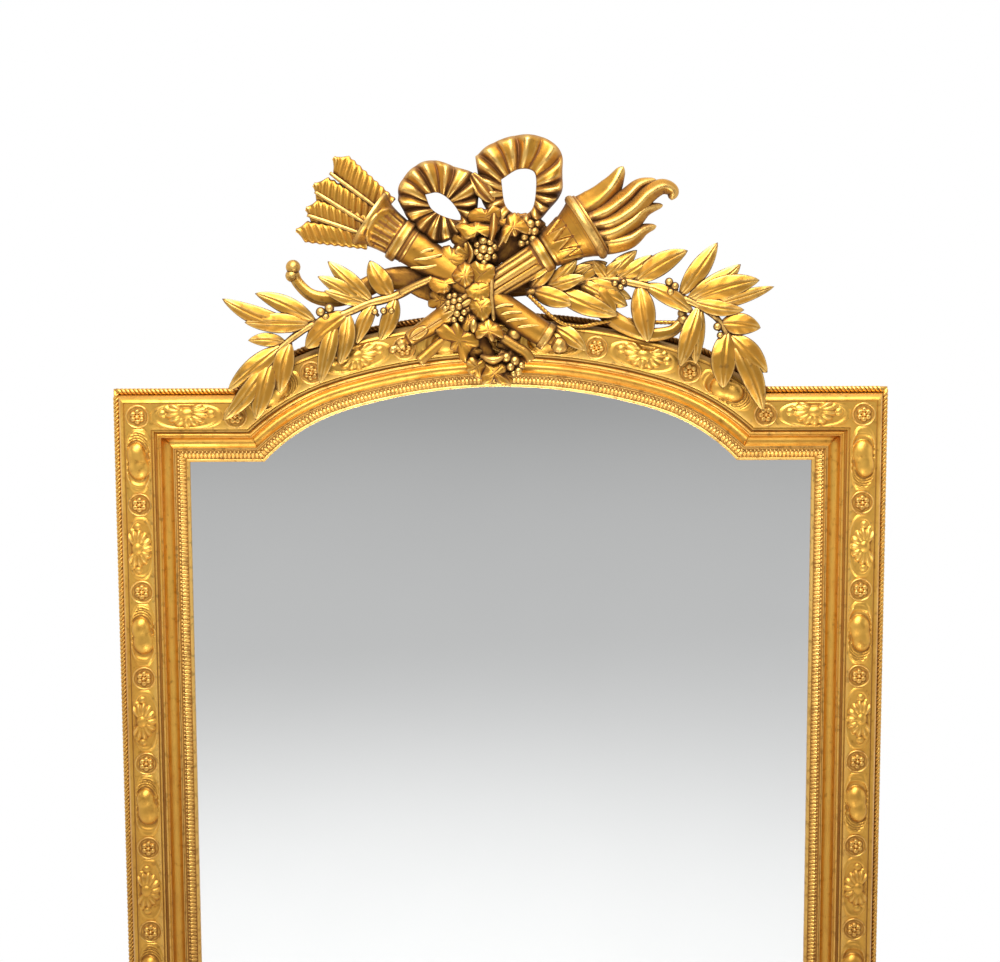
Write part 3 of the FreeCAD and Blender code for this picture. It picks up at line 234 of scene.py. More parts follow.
def path_frame(path):
    """The ways forward and across at each point of a path."""
    tangent = unit(np.gradient(path, axis=0))
    facing = unit(FORWARD - tangent * (tangent @ FORWARD)[:, None])
    return facing, np.cross(tangent, facing)


def relief_strip(carving, path, half, front, back):
    """A strip along a path that faces forward: half widths, heights of its face, depth of its back."""
    facing, across = path_frame(path)
    share = np.linspace(-1.0, 1.0, front.shape[1])
    half = np.broadcast_to(half, len(path))
    face = (path[:, None] + across[:, None] * (half[:, None] * share)[..., None]
            + facing[:, None] * front[..., None])
    right = path + across * half[:, None] * 0.96 - facing * back
    left = path - across * half[:, None] * 0.96 - facing * back
    carving.skin(np.concatenate([face, right[:, None], left[:, None]], axis=1))


def tube(carving, path, radii, sides=12):
    """A round limb along a path: one radius, one for each step, or one for each step and turn."""
    facing, across = path_frame(path)
    turn = np.linspace(0.0, 2 * pi, sides, endpoint=False)[None, :, None]
    ring = across[:, None] * np.cos(turn) + facing[:, None] * np.sin(turn)
    radii = np.broadcast_to(np.asarray(radii, float).T, (sides, len(path))).T
    carving.skin(path[:, None] + ring * radii[..., None])


def ball(carving, middle, radius, rows=12, sides=18):
    """A round boss."""
    tilt = np.linspace(0.04, pi - 0.04, rows)[:, None]
    turn = np.linspace(0.0, 2 * pi, sides, endpoint=False)[None, :]
    grid = np.stack([radius * np.sin(tilt) * np.cos(turn), radius * np.cos(tilt) + 0 * turn,
                     radius * np.sin(tilt) * np.sin(turn)], axis=-1)
    carving.skin(grid + np.asarray(middle))


def leaf(carving, base, tip, width, bow, arch, thick):
    """A carved leaf with a cut midrib, full in the middle and pointed at the tip."""
    rows = 22
    cols = 17
    share = np.linspace(0.0, 1.0, rows)
    base = np.asarray(base, float)
    tip = np.asarray(tip, float)
    length = np.linalg.norm(tip - base)
    side = unit(np.cross(tip - base, FORWARD))
    path = base + (tip - base) * share[:, None]
    path = path + side * (bow * length * 4 * share * (1 - share))[:, None]
    path = path + FORWARD * (arch * length * np.sin(pi * share ** 0.9))[:, None]
    outline = np.sin(pi * share ** 0.9) ** 0.72
    outline = np.maximum(outline, 0.2 * (1.0 - share))
    half = 0.5 * width * np.maximum(outline, 0.02)
    across = np.linspace(-1.0, 1.0, cols)[None, :]
    roof = 0.15 * width * outline[:, None] * (1.0 - np.abs(across) ** 1.5)
    rib = -0.075 * width * outline[:, None] * np.exp(-(across / 0.1) ** 2)
    vein = 0.014 * width * outline[:, None] * np.sin(2 * pi * (share[:, None] * 4.0 - np.abs(across) * 0.9))
    curl = 0.05 * width * outline[:, None] * np.sin(2.2 * pi * share[:, None] + width) * across
    relief_strip(carving, path, half, roof + rib + curl + vein * np.abs(across) ** 0.6, thick)


def outline_reach(outline, middle, turns):
    """How far a closed outline lies from a middle point, at each turn."""
    flat = [(x, 0.0, z) for x, z in (*outline, outline[0])]
    line = smooth_path(flat, 600)
    offset = line[:-1, [0, 2]] - np.array(middle, float)
    angle = np.mod(np.arctan2(offset[:, 1], offset[:, 0]), 2 * pi)
    order = np.argsort(angle)
    return np.interp(turns, angle[order], np.linalg.norm(offset, axis=1)[order], period=2 * pi)


def turning_places(values, sign):
    """Where a closed line of values peaks, or dips when the sign is turned."""
    count = len(values)
    near = range(-6, 7)
    return [index for index in range(count)
            if sign * values[index] >= max(sign * values[(index + step) % count] for step in near)]


def cushion(carving, reach, middle, rise, swell, lean, thick):
    """A broad vine leaf of a given reach round its middle: toothed edge, fine veins, cuts between lobes."""
    count = len(reach)
    turn = np.linspace(0.0, 2 * pi, count, endpoint=False)
    soft = np.convolve(np.concatenate([reach[-3:], reach, reach[:3]]), np.ones(7) / 7.0, mode="valid")
    teeth = round(float(reach.mean()) * 2 * pi / 9.0)
    edge = reach * (1.02 - 0.05 * np.abs(np.sin(0.5 * teeth * turn)))
    share = np.linspace(0.04, 1.0, 15)[:, None]
    front = swell * np.clip(1.0 - share ** 3, 0.0, None) ** 0.7 + 0 * turn
    for index in turning_places(soft, 1.0):
        away = np.mod(turn - turn[index] + pi, 2 * pi) - pi
        line = np.exp(-(away * reach[index] * share / 1.3) ** 2) * (np.abs(away) < 1.2)
        front = front - 0.3 * line * np.sin(pi * share ** 0.7)
    for index in turning_places(soft, -1.0):
        away = np.mod(turn - turn[index] + pi, 2 * pi) - pi
        valley = np.exp(-(away * reach[index] * share / 3.6) ** 2) * (np.abs(away) < 1.2)
        front = front - 0.2 * swell * valley * smooth_step(0.35, 0.8, share)
    x = middle[0] + edge * share * np.cos(turn)
    z = middle[1] + edge * share * np.sin(turn)
    front = front + lean[0] * (x - middle[0]) + lean[1] * (z - middle[1])
    grid = np.stack([x, -(FRIEZE + rise + front), SHOULDER + z], axis=-1)
    heart = np.array([middle[0], 0.0, SHOULDER + middle[1]])
    below = []
    for inward, drop in ((0.94, 0.35), (0.62, 1.0)):
        ring = heart + (grid[-1] - heart) * [inward, 1.0, inward]
        below.append(ring + [0.0, drop * thick, 0.0])
    carving.skin(np.concatenate([grid, below]))


def tongue(carving, points, widths, height, grooves=2.0, back=6.0, rows=40, cols=25):
    """A curling tongue with grooves along it, as in a carved flame or a fold of ribbon."""
    path = smooth_path([spot(*place) for place in points], rows)
    length = float(np.linalg.norm(np.diff(path, axis=0), axis=1).sum())
    tip = min(0.3, 0.8 * widths[-1] / length)
    ending = np.clip((np.linspace(0.0, 1.0, rows) - 1.0 + tip) / tip, 0.0, 1.0)
    half = 0.5 * along(widths, rows) * np.sqrt(np.maximum(1.0 - ending ** 2, 0.01))
    across = np.linspace(-1.0, 1.0, cols)[None, :]
    full = (1.0 - across ** 2) ** 0.55
    width = 2.0 * half[:, None] / max(widths)
    flute = 0.26 * np.cos(2 * pi * grooves * across) * smooth_step(0.25, 0.8, width)
    front = height * full * (0.85 + flute) * np.minimum(1.0, width + 0.25)
    relief_strip(carving, path, half, front, back)


def turned(carving, middle, tilt, stations, rows, sides, dress, back, forward=0.0):
    """A turned limb lying across the crest, its back cut flat, coming forward along its length."""
    ends = (stations[0][0], stations[-1][0])
    travel = np.sort(np.concatenate([np.linspace(ends[0], ends[1], rows),
                                     [station[0] for station in stations[1:-1]]]))
    travel = travel + np.arange(len(travel)) * 1e-6
    radius = np.interp(travel, [station[0] + index * 1e-6 for index, station in enumerate(stations)],
                       [station[1] for station in stations])
    turn = np.linspace(0.0, 2 * pi, sides, endpoint=False)
    s, a = np.meshgrid(travel, turn, indexing="ij")
    r = radius[:, None] + dress(s, a)
    c, d = cos(radians(tilt)), sin(radians(tilt))
    up = r * np.sin(a)
    depth = middle[1] - r * np.cos(a) - forward * np.maximum(s, 0.0)
    grid = np.stack([middle[0] + s * c - up * d, depth, middle[2] + s * d + up * c], axis=-1)
    grid[..., 1] = np.minimum(grid[..., 1], -(FRIEZE + back))
    carving.skin(grid)


def read_out(items, field, width=3, kind=np.float32):
    """Values of a mesh's points, edges or faces, one row for each."""
    values = np.empty(len(items) * width, kind)
    items.foreach_get(field, values)
    return values.reshape(-1, width)


def mark_relief(mesh, reach):
    """Notes at each point how hollow or how proud the carving is, for the bole in its hollows and the painted
    highlight on its proud places.
    """
    count = len(mesh.vertices)
    points = read_out(mesh.vertices, "co")
    normals = read_out(mesh.vertex_normals, "vector")
    a, b = read_out(mesh.edges, "vertices", 2, np.int32).T
    step = points[b] - points[a]
    length = np.maximum(np.linalg.norm(step, axis=1), 1e-5)
    bend = ((normals[b] - normals[a]) * step).sum(axis=1) / length ** 2
    weight = 1.0 / length
    total = np.bincount(a, weight, count) + np.bincount(b, weight, count) + 1e-9
    fine = (np.bincount(a, bend * weight, count) + np.bincount(b, bend * weight, count)) / total
    broad = fine.copy()
    near = np.bincount(a, minlength=count) + np.bincount(b, minlength=count) + 1.0
    for _ in range(4):
        broad = (broad + np.bincount(a, broad[b], count) + np.bincount(b, broad[a], count)) / near
    value = 0.55 * np.tanh(fine * reach) + 0.65 * np.tanh(broad * reach * 2.5)
    mesh.attributes.new("relief", "FLOAT", "POINT").data.foreach_set("value", value.astype(np.float32))


def mark_shade(pieces, others, reach, rays):
    """Notes at each point of the carved pieces how deep it lies between its neighbours, as painted shade;
    sides turned away from the front get painted shade too, and backs are marked as ungilded.
    """
    points = []
    faces = []
    count = 0
    for piece in [*pieces, *others]:
        mesh = piece.data
        mesh.calc_loop_triangles()
        points.append(read_out(mesh.vertices, "co"))
        faces.append(read_out(mesh.loop_triangles, "vertices", 3, np.int32) + count)
        count += len(mesh.vertices)
    tree = BVHTree.FromPolygons(np.vstack(points).tolist(), np.vstack(faces).tolist())
    step = np.arange(rays)
    height = 1.0 - (step + 0.5) / rays * 0.9
    spin = step * 2.39996
    flat = np.sqrt(1.0 - height ** 2)
    around = np.stack([flat * np.cos(spin), flat * np.sin(spin), height], axis=1)
    for piece, place in zip(pieces, points):
        mesh = piece.data
        normals = read_out(mesh.vertex_normals, "vector")
        apart = np.where(np.abs(normals[:, :1]) < 0.7, [[1.0, 0.0, 0.0]], [[0.0, 0.0, 1.0]])
        side = unit(np.cross(normals, apart))
        other = np.cross(normals, side)
        closed = np.zeros(len(place), np.float32)
        start = place + normals * 0.0004
        for one in around:
            way = side * one[0] + other * one[1] + normals * one[2]
            for index in range(len(place)):
                far = tree.ray_cast(start[index], way[index], reach)[3]
                if far is not None:
                    closed[index] += 1.0 - 0.6 * far / reach
        # Painted shade on sides turned away from the front, strongest on the laurels; backs facing the wall
        # are marked as ungilded.
        sides = (0.9 if "laurel" in piece.name else 0.35) * smooth_step(0.93, 0.4, -normals[:, 1])
        sides = np.maximum(sides, 0.65 * smooth_step(0.1, 0.6, normals[:, 1]))
        mesh.attributes.new("shade", "FLOAT", "POINT").data.foreach_set("value", closed / rays + sides)


def place_piece(name, mesh, material, nodes, reach=0.004, sharp=None):
    """Puts a finished mesh on the mirror in place of the plain pieces it stands for."""
    if sharp is not None:
        mesh.set_sharp_from_angle(angle=radians(sharp))
    mark_relief(mesh, reach)
    piece = bpy.data.objects.new(name, mesh)
    bpy.context.scene.collection.objects.link(piece)
    mesh.materials.clear()
    mesh.materials.append(material)
    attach(piece, "root")
    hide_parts(*nodes)
    return piece


def knee(inset):
    """Where a line of the frame turns from the shoulder into the arch."""
    radius = HAUNCH + SIGHT - inset
    drop = SHOULDER - inset - HAUNCH_Z
    return HAUNCH_X + (radius * radius - drop * drop) ** 0.5


def run(member, inset, share):
    """Points of a member's line at an inset, from mitre to mitre, clockwise from the front."""
    edge = HALF_WIDTH - inset
    top = SHOULDER - inset
    if member == "stile_left":
        return -edge + 0 * share, inset + (top - inset) * share
    if member == "stile_right":
        return edge + 0 * share, top + (inset - top) * share
    if member == "bottom":
        return edge * (1.0 - 2.0 * share), inset + 0 * share
    bend = knee(inset)
    if member == "shoulder_left":
        return -edge + (edge - bend) * share, top + 0 * share
    if member == "shoulder_right":
        return bend + (edge - bend) * share, top + 0 * share
    side = 2.0 * share - 1.0
    far = np.abs(side)
    grown = SIGHT - inset
    end = asin((bend - HAUNCH_X) / (HAUNCH + grown))
    crown = np.minimum(far / CROWN_SHARE, 1.0) * LEAN
    haunch = LEAN + np.maximum(far - CROWN_SHARE, 0.0) / (1.0 - CROWN_SHARE) * (end - LEAN)
    on_crown = far <= CROWN_SHARE
    x = np.where(on_crown, (CROWN + grown) * np.sin(crown), HAUNCH_X + (HAUNCH + grown) * np.sin(haunch))
    z = np.where(on_crown, CROWN_Z + (CROWN + grown) * np.cos(crown),
                 HAUNCH_Z + (HAUNCH + grown) * np.cos(haunch))
    return np.sign(side) * x, z


def member_steps(member):
    """How finely a member is cut along its length."""
    return np.linspace(0.0, 1.0, 97 if member == "arch" else 25)


def sweep(carving, member, section):
    """A moulding of the given closed section, mitred at both ends."""
    steps = member_steps(member)
    loops = []
    for inset, depth in section:
        x, z = run(member, inset, steps)
        loops.append(np.stack([x, np.full_like(x, -depth), z], axis=-1))
    carving.skin(np.stack(loops, axis=1))


def wire(tree, source, target):
    """Joins two sockets."""
    tree.links.new(source, target)


def tree_socket(tree, name, kind, output=False):
    """Adds a named input or output to a tree of nodes."""
    return tree.interface.new_socket(name, in_out="OUTPUT" if output else "INPUT", socket_type=kind)


def motif_tree(name, inputs):
    """The part that all repeating trees share: a motif set on points, made solid and given its finish."""
    tree = bpy.data.node_groups.new(name, "GeometryNodeTree")
    for label, kind in inputs:
        tree_socket(tree, label, kind)
    tree_socket(tree, "Carving", "NodeSocketGeometry", output=True)
    given = tree.nodes.new("NodeGroupInput")
    motif = tree.nodes.new("GeometryNodeObjectInfo")
    place = tree.nodes.new("GeometryNodeInstanceOnPoints")
    solid = tree.nodes.new("GeometryNodeRealizeInstances")
    finish = tree.nodes.new("GeometryNodeSetMaterial")
    made = tree.nodes.new("NodeGroupOutput")
    wire(tree, given.outputs["Motif"], motif.inputs["Object"])
    wire(tree, motif.outputs["Geometry"], place.inputs["Instance"])
    wire(tree, place.outputs["Instances"], solid.inputs["Geometry"])
    wire(tree, solid.outputs["Geometry"], finish.inputs["Geometry"])
    wire(tree, given.outputs["Finish"], finish.inputs["Material"])
    wire(tree, finish.outputs["Geometry"], made.inputs["Carving"])
    return tree, given, place


def run_tree():
    """Nodes that repeat a motif at a pitch along a run of the frame."""
    name = "Motif along a run"
    if name in bpy.data.node_groups:
        return bpy.data.node_groups[name]
    tree, given, place = motif_tree(name, (("Run", "NodeSocketGeometry"), ("Motif", "NodeSocketObject"),
                                           ("Pitch", "NodeSocketFloat"), ("Finish", "NodeSocketMaterial")))
    curve = tree.nodes.new("GeometryNodeMeshToCurve")
    steps = tree.nodes.new("GeometryNodeResampleCurve")
    steps.mode = "LENGTH"
    tangent = tree.nodes.new("GeometryNodeInputTangent")
    turn = tree.nodes.new("FunctionNodeAlignRotationToVector")
    turn.axis = "X"
    turn.pivot_axis = "Y"
    wire(tree, given.outputs["Run"], curve.inputs["Mesh"])
    wire(tree, curve.outputs["Curve"], steps.inputs["Curve"])
    wire(tree, given.outputs["Pitch"], steps.inputs["Length"])
    wire(tree, tangent.outputs["Tangent"], turn.inputs["Vector"])
    wire(tree, steps.outputs["Curve"], place.inputs["Points"])
    wire(tree, turn.outputs["Rotation"], place.inputs["Rotation"])
    return tree


def place_tree():
    """Nodes that set a motif at marked places, each with its own turn and size."""
    name = "Motif at marked places"
    if name in bpy.data.node_groups:
        return bpy.data.node_groups[name]
    tree, given, place = motif_tree(name, (("Places", "NodeSocketGeometry"), ("Motif", "NodeSocketObject"),
                                           ("Finish", "NodeSocketMaterial")))
    marks = []
    for label in ("turn", "size"):
        mark = tree.nodes.new("GeometryNodeInputNamedAttribute")
        mark.data_type = "FLOAT_VECTOR"
        mark.inputs["Name"].default_value = label
        marks.append(mark.outputs["Attribute"])
    rotation = tree.nodes.new("FunctionNodeEulerToRotation")
    wire(tree, given.outputs["Places"], place.inputs["Points"])
    wire(tree, marks[0], rotation.inputs["Euler"])
    wire(tree, rotation.outputs["Rotation"], place.inputs["Rotation"])
    wire(tree, marks[1], place.inputs["Scale"])
    return tree


def grow(tree, base, inputs):
    """Runs a tree of nodes over a base mesh and gives back the plain mesh it makes."""
    carrier = bpy.data.objects.new("carrier", base)
    bpy.context.scene.collection.objects.link(carrier)
    modifier = carrier.modifiers.new("Repeat", "NODES")
    modifier.node_group = tree
    for item in tree.interface.items_tree:
        if item.name in inputs and item.in_out == "INPUT":
            modifier[item.identifier] = inputs[item.name]
    view = bpy.context.evaluated_depsgraph_get()
    view.update()
    made = bpy.data.meshes.new_from_object(carrier.evaluated_get(view))
    carrier.modifiers.remove(modifier)
    bpy.data.objects.remove(carrier)
    bpy.data.meshes.remove(base)
    return made


def motif_object(name, carving):
    """A single motif for a tree of nodes to repeat."""
    motif = bpy.data.objects.new(name, carving.mesh(name))
    bpy.context.scene.collection.objects.link(motif)
    return motif


def drop_motif(motif):
    """Clears away a motif once it has been repeated."""
    mesh = motif.data
    bpy.data.objects.remove(motif)
    bpy.data.meshes.remove(mesh)


def run_mesh(member, inset, depth, short=0.0):
    """The line a motif follows along a member, as a chain of edges in metres, cut short by a share."""
    x, z = run(member, inset, np.linspace(short, 1.0 - short, 200))
    points = np.stack([x, np.full_like(x, -depth), z], axis=-1) * MM
    mesh = bpy.data.meshes.new("run")
    mesh.from_pydata(points.tolist(), [(index, index + 1) for index in range(len(points) - 1)], [])
    return mesh


def places_mesh(places):
    """Marked places for a motif: points in mm, turns in radians and sizes."""
    mesh = bpy.data.meshes.new("places")
    mesh.from_pydata([(Vector(place[0]) * MM)[:] for place in places], [], [])
    for part, label in ((1, "turn"), (2, "size")):
        mark = mesh.attributes.new(label, "FLOAT_VECTOR", "POINT")
        mark.data.foreach_set("vector", np.array([place[part] for place in places], np.float32).ravel())
    return mesh


def join_meshes(first, second):
    """Adds the second mesh to the first."""
    both = bmesh.new()
    both.from_mesh(first)
    both.from_mesh(second)
    both.to_mesh(first)
    both.free()
    bpy.data.meshes.remove(second)
    return first


def strand(radius, pitch, lead):
    """One strand of the twisted rope, laid slantwise over the bead."""
    carving = Carving()
    turn = np.linspace(-0.12, pi + 0.12, 9)
    across = np.linspace(-1.0, 1.0, 5)
    a, b = np.meshgrid(turn, across, indexing="ij")
    lift = radius - 0.3 + 1.1 * (1.0 - b ** 2) ** 0.6
    slant = (a / pi - 0.5) * lead
    grid = np.stack([slant + b * pitch * 0.52, -lift * np.sin(a), lift * np.cos(a)], axis=-1)
    inner = np.stack([slant[:, 0], -(radius - 1.4) * np.sin(turn), (radius - 1.4) * np.cos(turn)], axis=-1)
    carving.skin(np.concatenate([grid, inner[:, None]], axis=1))
    return carving


def leaf_tip(width, length, height):
    """One bead and tongue of the enrichment inside the frame, pointing to the glass."""
    carving = Carving()
    share = np.linspace(0.0, 1.0, 7)
    across = np.linspace(-1.0, 1.0, 7)
    t, b = np.meshgrid(share, across, indexing="ij")
    outline = np.maximum(np.sin(pi * np.clip(0.22 + 0.78 * t, 0.0, 1.0)) ** 0.55, 0.05)
    dome = height * (1.0 - b ** 2) ** 0.6 * outline
    dome = dome - 0.4 * height * np.exp(-(b / 0.22) ** 2) * outline * smooth_step(0.0, 0.4, t)
    along_slip = (0.18 - 0.68 * t) * length
    grid = np.stack([b * 0.5 * width * outline, -dome - 0.45 * along_slip, along_slip], axis=-1)
    low = np.stack([grid[:, -1] * [0.9, 1.0, 1.0] + [0.0, 0.8, 0.0],
                    grid[:, 0] * [0.9, 1.0, 1.0] + [0.0, 0.8, 0.0]], axis=1)
    carving.skin(np.concatenate([grid, low], axis=1))
    ball(carving, (0.5 * width, -0.45 * 0.33 * length - 0.2, 0.33 * length), 0.36 * width, rows=5, sides=8)
    return carving


def relief_sheet(height, steps):
    """A carved panel of the frieze, sunk into its ground at the edges."""
    carving = Carving()
    u, v = np.meshgrid(np.linspace(-PANEL_REACH, PANEL_REACH, steps),
                       np.linspace(-PANEL_HALF, PANEL_HALF, PANEL_CUTS), indexing="ij")
    fade = smooth_step(1.0, 0.97, np.abs(u) / PANEL_REACH) * smooth_step(1.0, 0.9, np.abs(v) / PANEL_HALF)
    rise = height(u, v) * fade - 1.9 * (1.0 - fade)
    grid = np.stack([u, -rise, v], axis=-1)
    low = np.stack([grid[:, -1] + [0.0, 1.5, 0.0], grid[:, 0] + [0.0, 1.5, 0.0]], axis=1)
    carving.skin(np.concatenate([grid, low], axis=1))
    return carving


def bowl(span):
    """The smooth dish of an ornament with its soft raised border, over the ground of the frieze."""
    lip = np.exp(-((span - 0.94) / 0.075) ** 2)
    return 0.3 + GROUND * lip - 2.2 * smooth_step(1.02, 1.15, span)


def set_over(dish, ornament):
    """An ornament standing in its dish."""
    return np.where(ornament > 0.0, np.maximum(dish, ornament), dish)


def cabochon_height(u, v):
    """A smooth kidney in an oval dish, with crescents cut at its upper end."""
    near = ((u - 9.6) / 17.6) ** 2 + ((v - 2.4) / 13.6) ** 2
    away = ((u + 9.0) / 18.6) ** 2 + ((v + 1.0) / 15.2) ** 2
    joined = -np.log(np.exp(-4.2 * near) + np.exp(-4.2 * away)) / 4.2 + 0.06
    dome = 11.5 * np.sqrt(np.clip(1.0 - joined, 0.0, None))
    beyond = np.sqrt(np.clip(joined, 0.0, None))
    span = (np.abs(u / 45.0) ** 2.4 + np.abs(v / 18.2) ** 2.4) ** (1.0 / 2.4)
    ends = smooth_step(0.5, 0.8, np.abs(u) / (np.hypot(u, v * 1.6) + 1e-6))
    ripple = np.clip(np.cos(2 * pi * (beyond - 1.2) / 0.2), 0.0, 1.0) ** 0.8
    ripple = np.where(u > 0.0, ripple, np.exp(-((beyond - 1.45) / 0.16) ** 2))
    crescents = 1.9 * ends * ripple * (beyond > 1.06) * smooth_step(0.99, 0.9, span)
    side = np.clip(np.cos(u * 0.7) * np.cos((np.abs(v) - 15.0) * 0.8), 0.0, 1.0)
    bits = 1.4 * (1.0 - ends) * side * smooth_step(1.02, 1.1, beyond) * smooth_step(1.0, 0.92, span)
    return set_over(bowl(span) + crescents + bits, dome)


def shell_height(u, v):
    """A finely ribbed shell round a smooth boss, with a curled bud at each end."""
    hub = v - 5.5
    far = np.hypot(u * 0.78, hub)
    turn = np.arctan2(u * 0.78, -hub)
    rib = np.abs(np.cos(turn * 7.0))
    limit = 21.5 * (0.88 + 0.12 * rib)
    part = far / limit
    fan = np.clip(1.0 - part ** 6, 0.0, None) ** 0.5
    swell = 3.0 * np.sin(pi * np.clip(0.2 + 0.6 * part, 0.0, 1.0))
    fan = fan * (1.6 + swell + 1.6 * rib ** 2 * smooth_step(0.25, 0.6, part))
    fan = fan * smooth_step(2.6, 2.3, np.abs(turn))
    boss = 7.4 * np.sqrt(np.clip(1.0 - (u / 10.5) ** 2 - ((v - 4.0) / 8.6) ** 2, 0.0, None))
    span = (np.abs(u / 44.0) ** 2.4 + np.abs(v / 18.2) ** 2.4) ** (1.0 / 2.4)
    bud = np.zeros_like(u)
    for x, z, size in ((31.0, 4.0, 5.4), (25.0, 11.5, 4.4)):
        lump = 1.0 - ((np.abs(u) - x) / size) ** 2 - ((v - z) / size) ** 2
        bud = np.maximum(bud, 3.2 * np.sqrt(np.clip(lump, 0.0, None)))
    return set_over(bowl(span), np.maximum(np.maximum(fan, boss), bud))


def rosette():
    """A six-petalled flower in a round dish."""
    carving = Carving()
    far = np.concatenate([np.linspace(0.2, 12.4, 22), np.linspace(13.0, 17.2, 8)])[:, None]
    turn = np.linspace(0.0, 2 * pi, 60, endpoint=False)[None, :]
    x = far * np.cos(turn)
    z = far * np.sin(turn)
    rise = bowl(far / 16.6) + 0 * turn
    for petal in range(6):
        away = np.hypot(x - 6.9 * cos(petal * pi / 3), z - 6.9 * sin(petal * pi / 3))
        lump = 5.4 * np.sqrt(np.clip(1.0 - (away / 3.9) ** 2, 0.0, None)) - 1.3 * np.exp(-(away / 1.7) ** 2)
        rise = np.maximum(rise, lump)
    rise = np.maximum(rise, 6.2 * np.sqrt(np.clip(1.0 - (far / 3.3) ** 2, 0.0, None)))
    rise[-1] = -1.0
    carving.skin(np.stack([x, -rise, z], axis=-1))
    return carving


def arch_spot(travel):
    """A place on the frieze line of the arch and the slope of the frieze there."""
    radius = CROWN + SIGHT - FRIEZE_LINE
    side = 1.0 if travel >= 0.0 else -1.0
    turn = abs(travel) / radius
    if turn <= LEAN:
        return side * radius * sin(turn), CROWN_Z + radius * cos(turn), side * turn
    inner = HAUNCH + SIGHT - FRIEZE_LINE
    turn = LEAN + (abs(travel) - LEAN * radius) / inner
    return side * (HAUNCH_X + inner * sin(turn)), HAUNCH_Z + inner * cos(turn), side * turn


def frieze_plan():
    """Where each ornament of the frieze sits: kind, x, z, turn about the depth, stretch along."""
    plan = []
    edge = HALF_WIDTH - FRIEZE_LINE
    low, high = FRIEZE_LINE, SHOULDER - FRIEZE_LINE
    pitch = (high - low) / STILE_CELLS
    for side, turn in ((-1, -pi / 2), (1, pi / 2)):
        for index in range(STILE_CELLS + 1):
            plan.append(("R", side * edge, low + index * pitch, turn, 1.0))
        for index in range(STILE_CELLS):
            kind = "K" if index % 2 == 0 else "S"
            plan.append((kind, side * edge, low + (index + 0.5) * pitch, turn, pitch / CELL_LENGTH))
    step = 2.0 * edge / len(BOTTOM_CELLS)
    for index, kind in enumerate(BOTTOM_CELLS):
        plan.append((kind, -edge + (index + 0.5) * step, low, pi, step / CELL_LENGTH))
        if index:
            plan.append(("R", -edge + index * step, low, pi, 1.0))
    bend = knee(FRIEZE_LINE) + 9.0
    middle = 0.5 * (edge + bend)
    for side in (-1, 1):
        plan.append(("R", side * bend, high, 0.0, 1.0))
        plan.append(("S", side * middle, high, 0.0, (edge - bend) / CELL_LENGTH))
        for count in (1, 2):
            x, z, turn = arch_spot(side * count * ARCH_PITCH)
            plan.append(("R", x, z, turn, 1.0))
        for place, kind, fill in ((0.5, "K", 1.0), (1.5, "S", 1.0), (2.43, "K", 0.85)):
            x, z, turn = arch_spot(side * place * ARCH_PITCH)
            plan.append((kind, x, z, turn, fill * ARCH_PITCH / CELL_LENGTH))
    x, z, turn = arch_spot(0.0)
    plan.append(("R", x, z, turn, 1.0))
    return plan


def noise(tree, coordinates, scale, detail, rough=0.55):
    """A noise at so many cells to the metre."""
    node = tree.nodes.new("ShaderNodeTexNoise")
    node.inputs["Scale"].default_value = scale
    node.inputs["Detail"].default_value = detail
    node.inputs["Roughness"].default_value = rough
    wire(tree, coordinates, node.inputs["Vector"])
    return node.outputs["Fac"]


def ranged(tree, value, low, high, start=0.0, end=1.0):
    """A value spread from one range to another."""
    node = tree.nodes.new("ShaderNodeMapRange")
    node.interpolation_type = "SMOOTHSTEP"
    node.inputs["From Min"].default_value = low
    node.inputs["From Max"].default_value = high
    node.inputs["To Min"].default_value = start
    node.inputs["To Max"].default_value = end
    wire(tree, value, node.inputs["Value"])
    return node.outputs["Result"]


def maths(tree, kind, first, second):
    """Arithmetic on two sockets or a socket and a number."""
    node = tree.nodes.new("ShaderNodeMath")
    node.operation = kind
    for index, item in enumerate((first, second)):
        if isinstance(item, (int, float)):
            node.inputs[index].default_value = item
        else:
            wire(tree, item, node.inputs[index])
    return node.outputs["Value"]


def blend(tree, share, first, second):
    """Mixes two colours by a share."""
    node = tree.nodes.new("ShaderNodeMix")
    node.data_type = "RGBA"
    for socket, item in ((node.inputs[0], share), (node.inputs[6], first), (node.inputs[7], second)):
        if isinstance(item, (int, float)):
            socket.default_value = item
        elif hasattr(item, "__len__"):
            socket.default_value = (*tuple(item)[:3], 1.0)
        else:
            wire(tree, item, socket)
    return node.outputs[2]


def where_on(tree):
    """The place of a point on the mirror."""
    return tree.nodes.new("ShaderNodeTexCoord").outputs["Object"]


def darker(colour, share):
    """A colour brought down to a share of itself."""
    return tuple(share * part for part in colour)


def add_bump(tree, shader, height, strength, distance):
    """Relief too fine to be cut."""
    bumps = tree.nodes.new("ShaderNodeBump")
    bumps.inputs["Strength"].default_value = strength
    bumps.inputs["Distance"].default_value = distance
    wire(tree, height, bumps.inputs["Height"])
    wire(tree, bumps.outputs["Normal"], shader.inputs["Normal"])


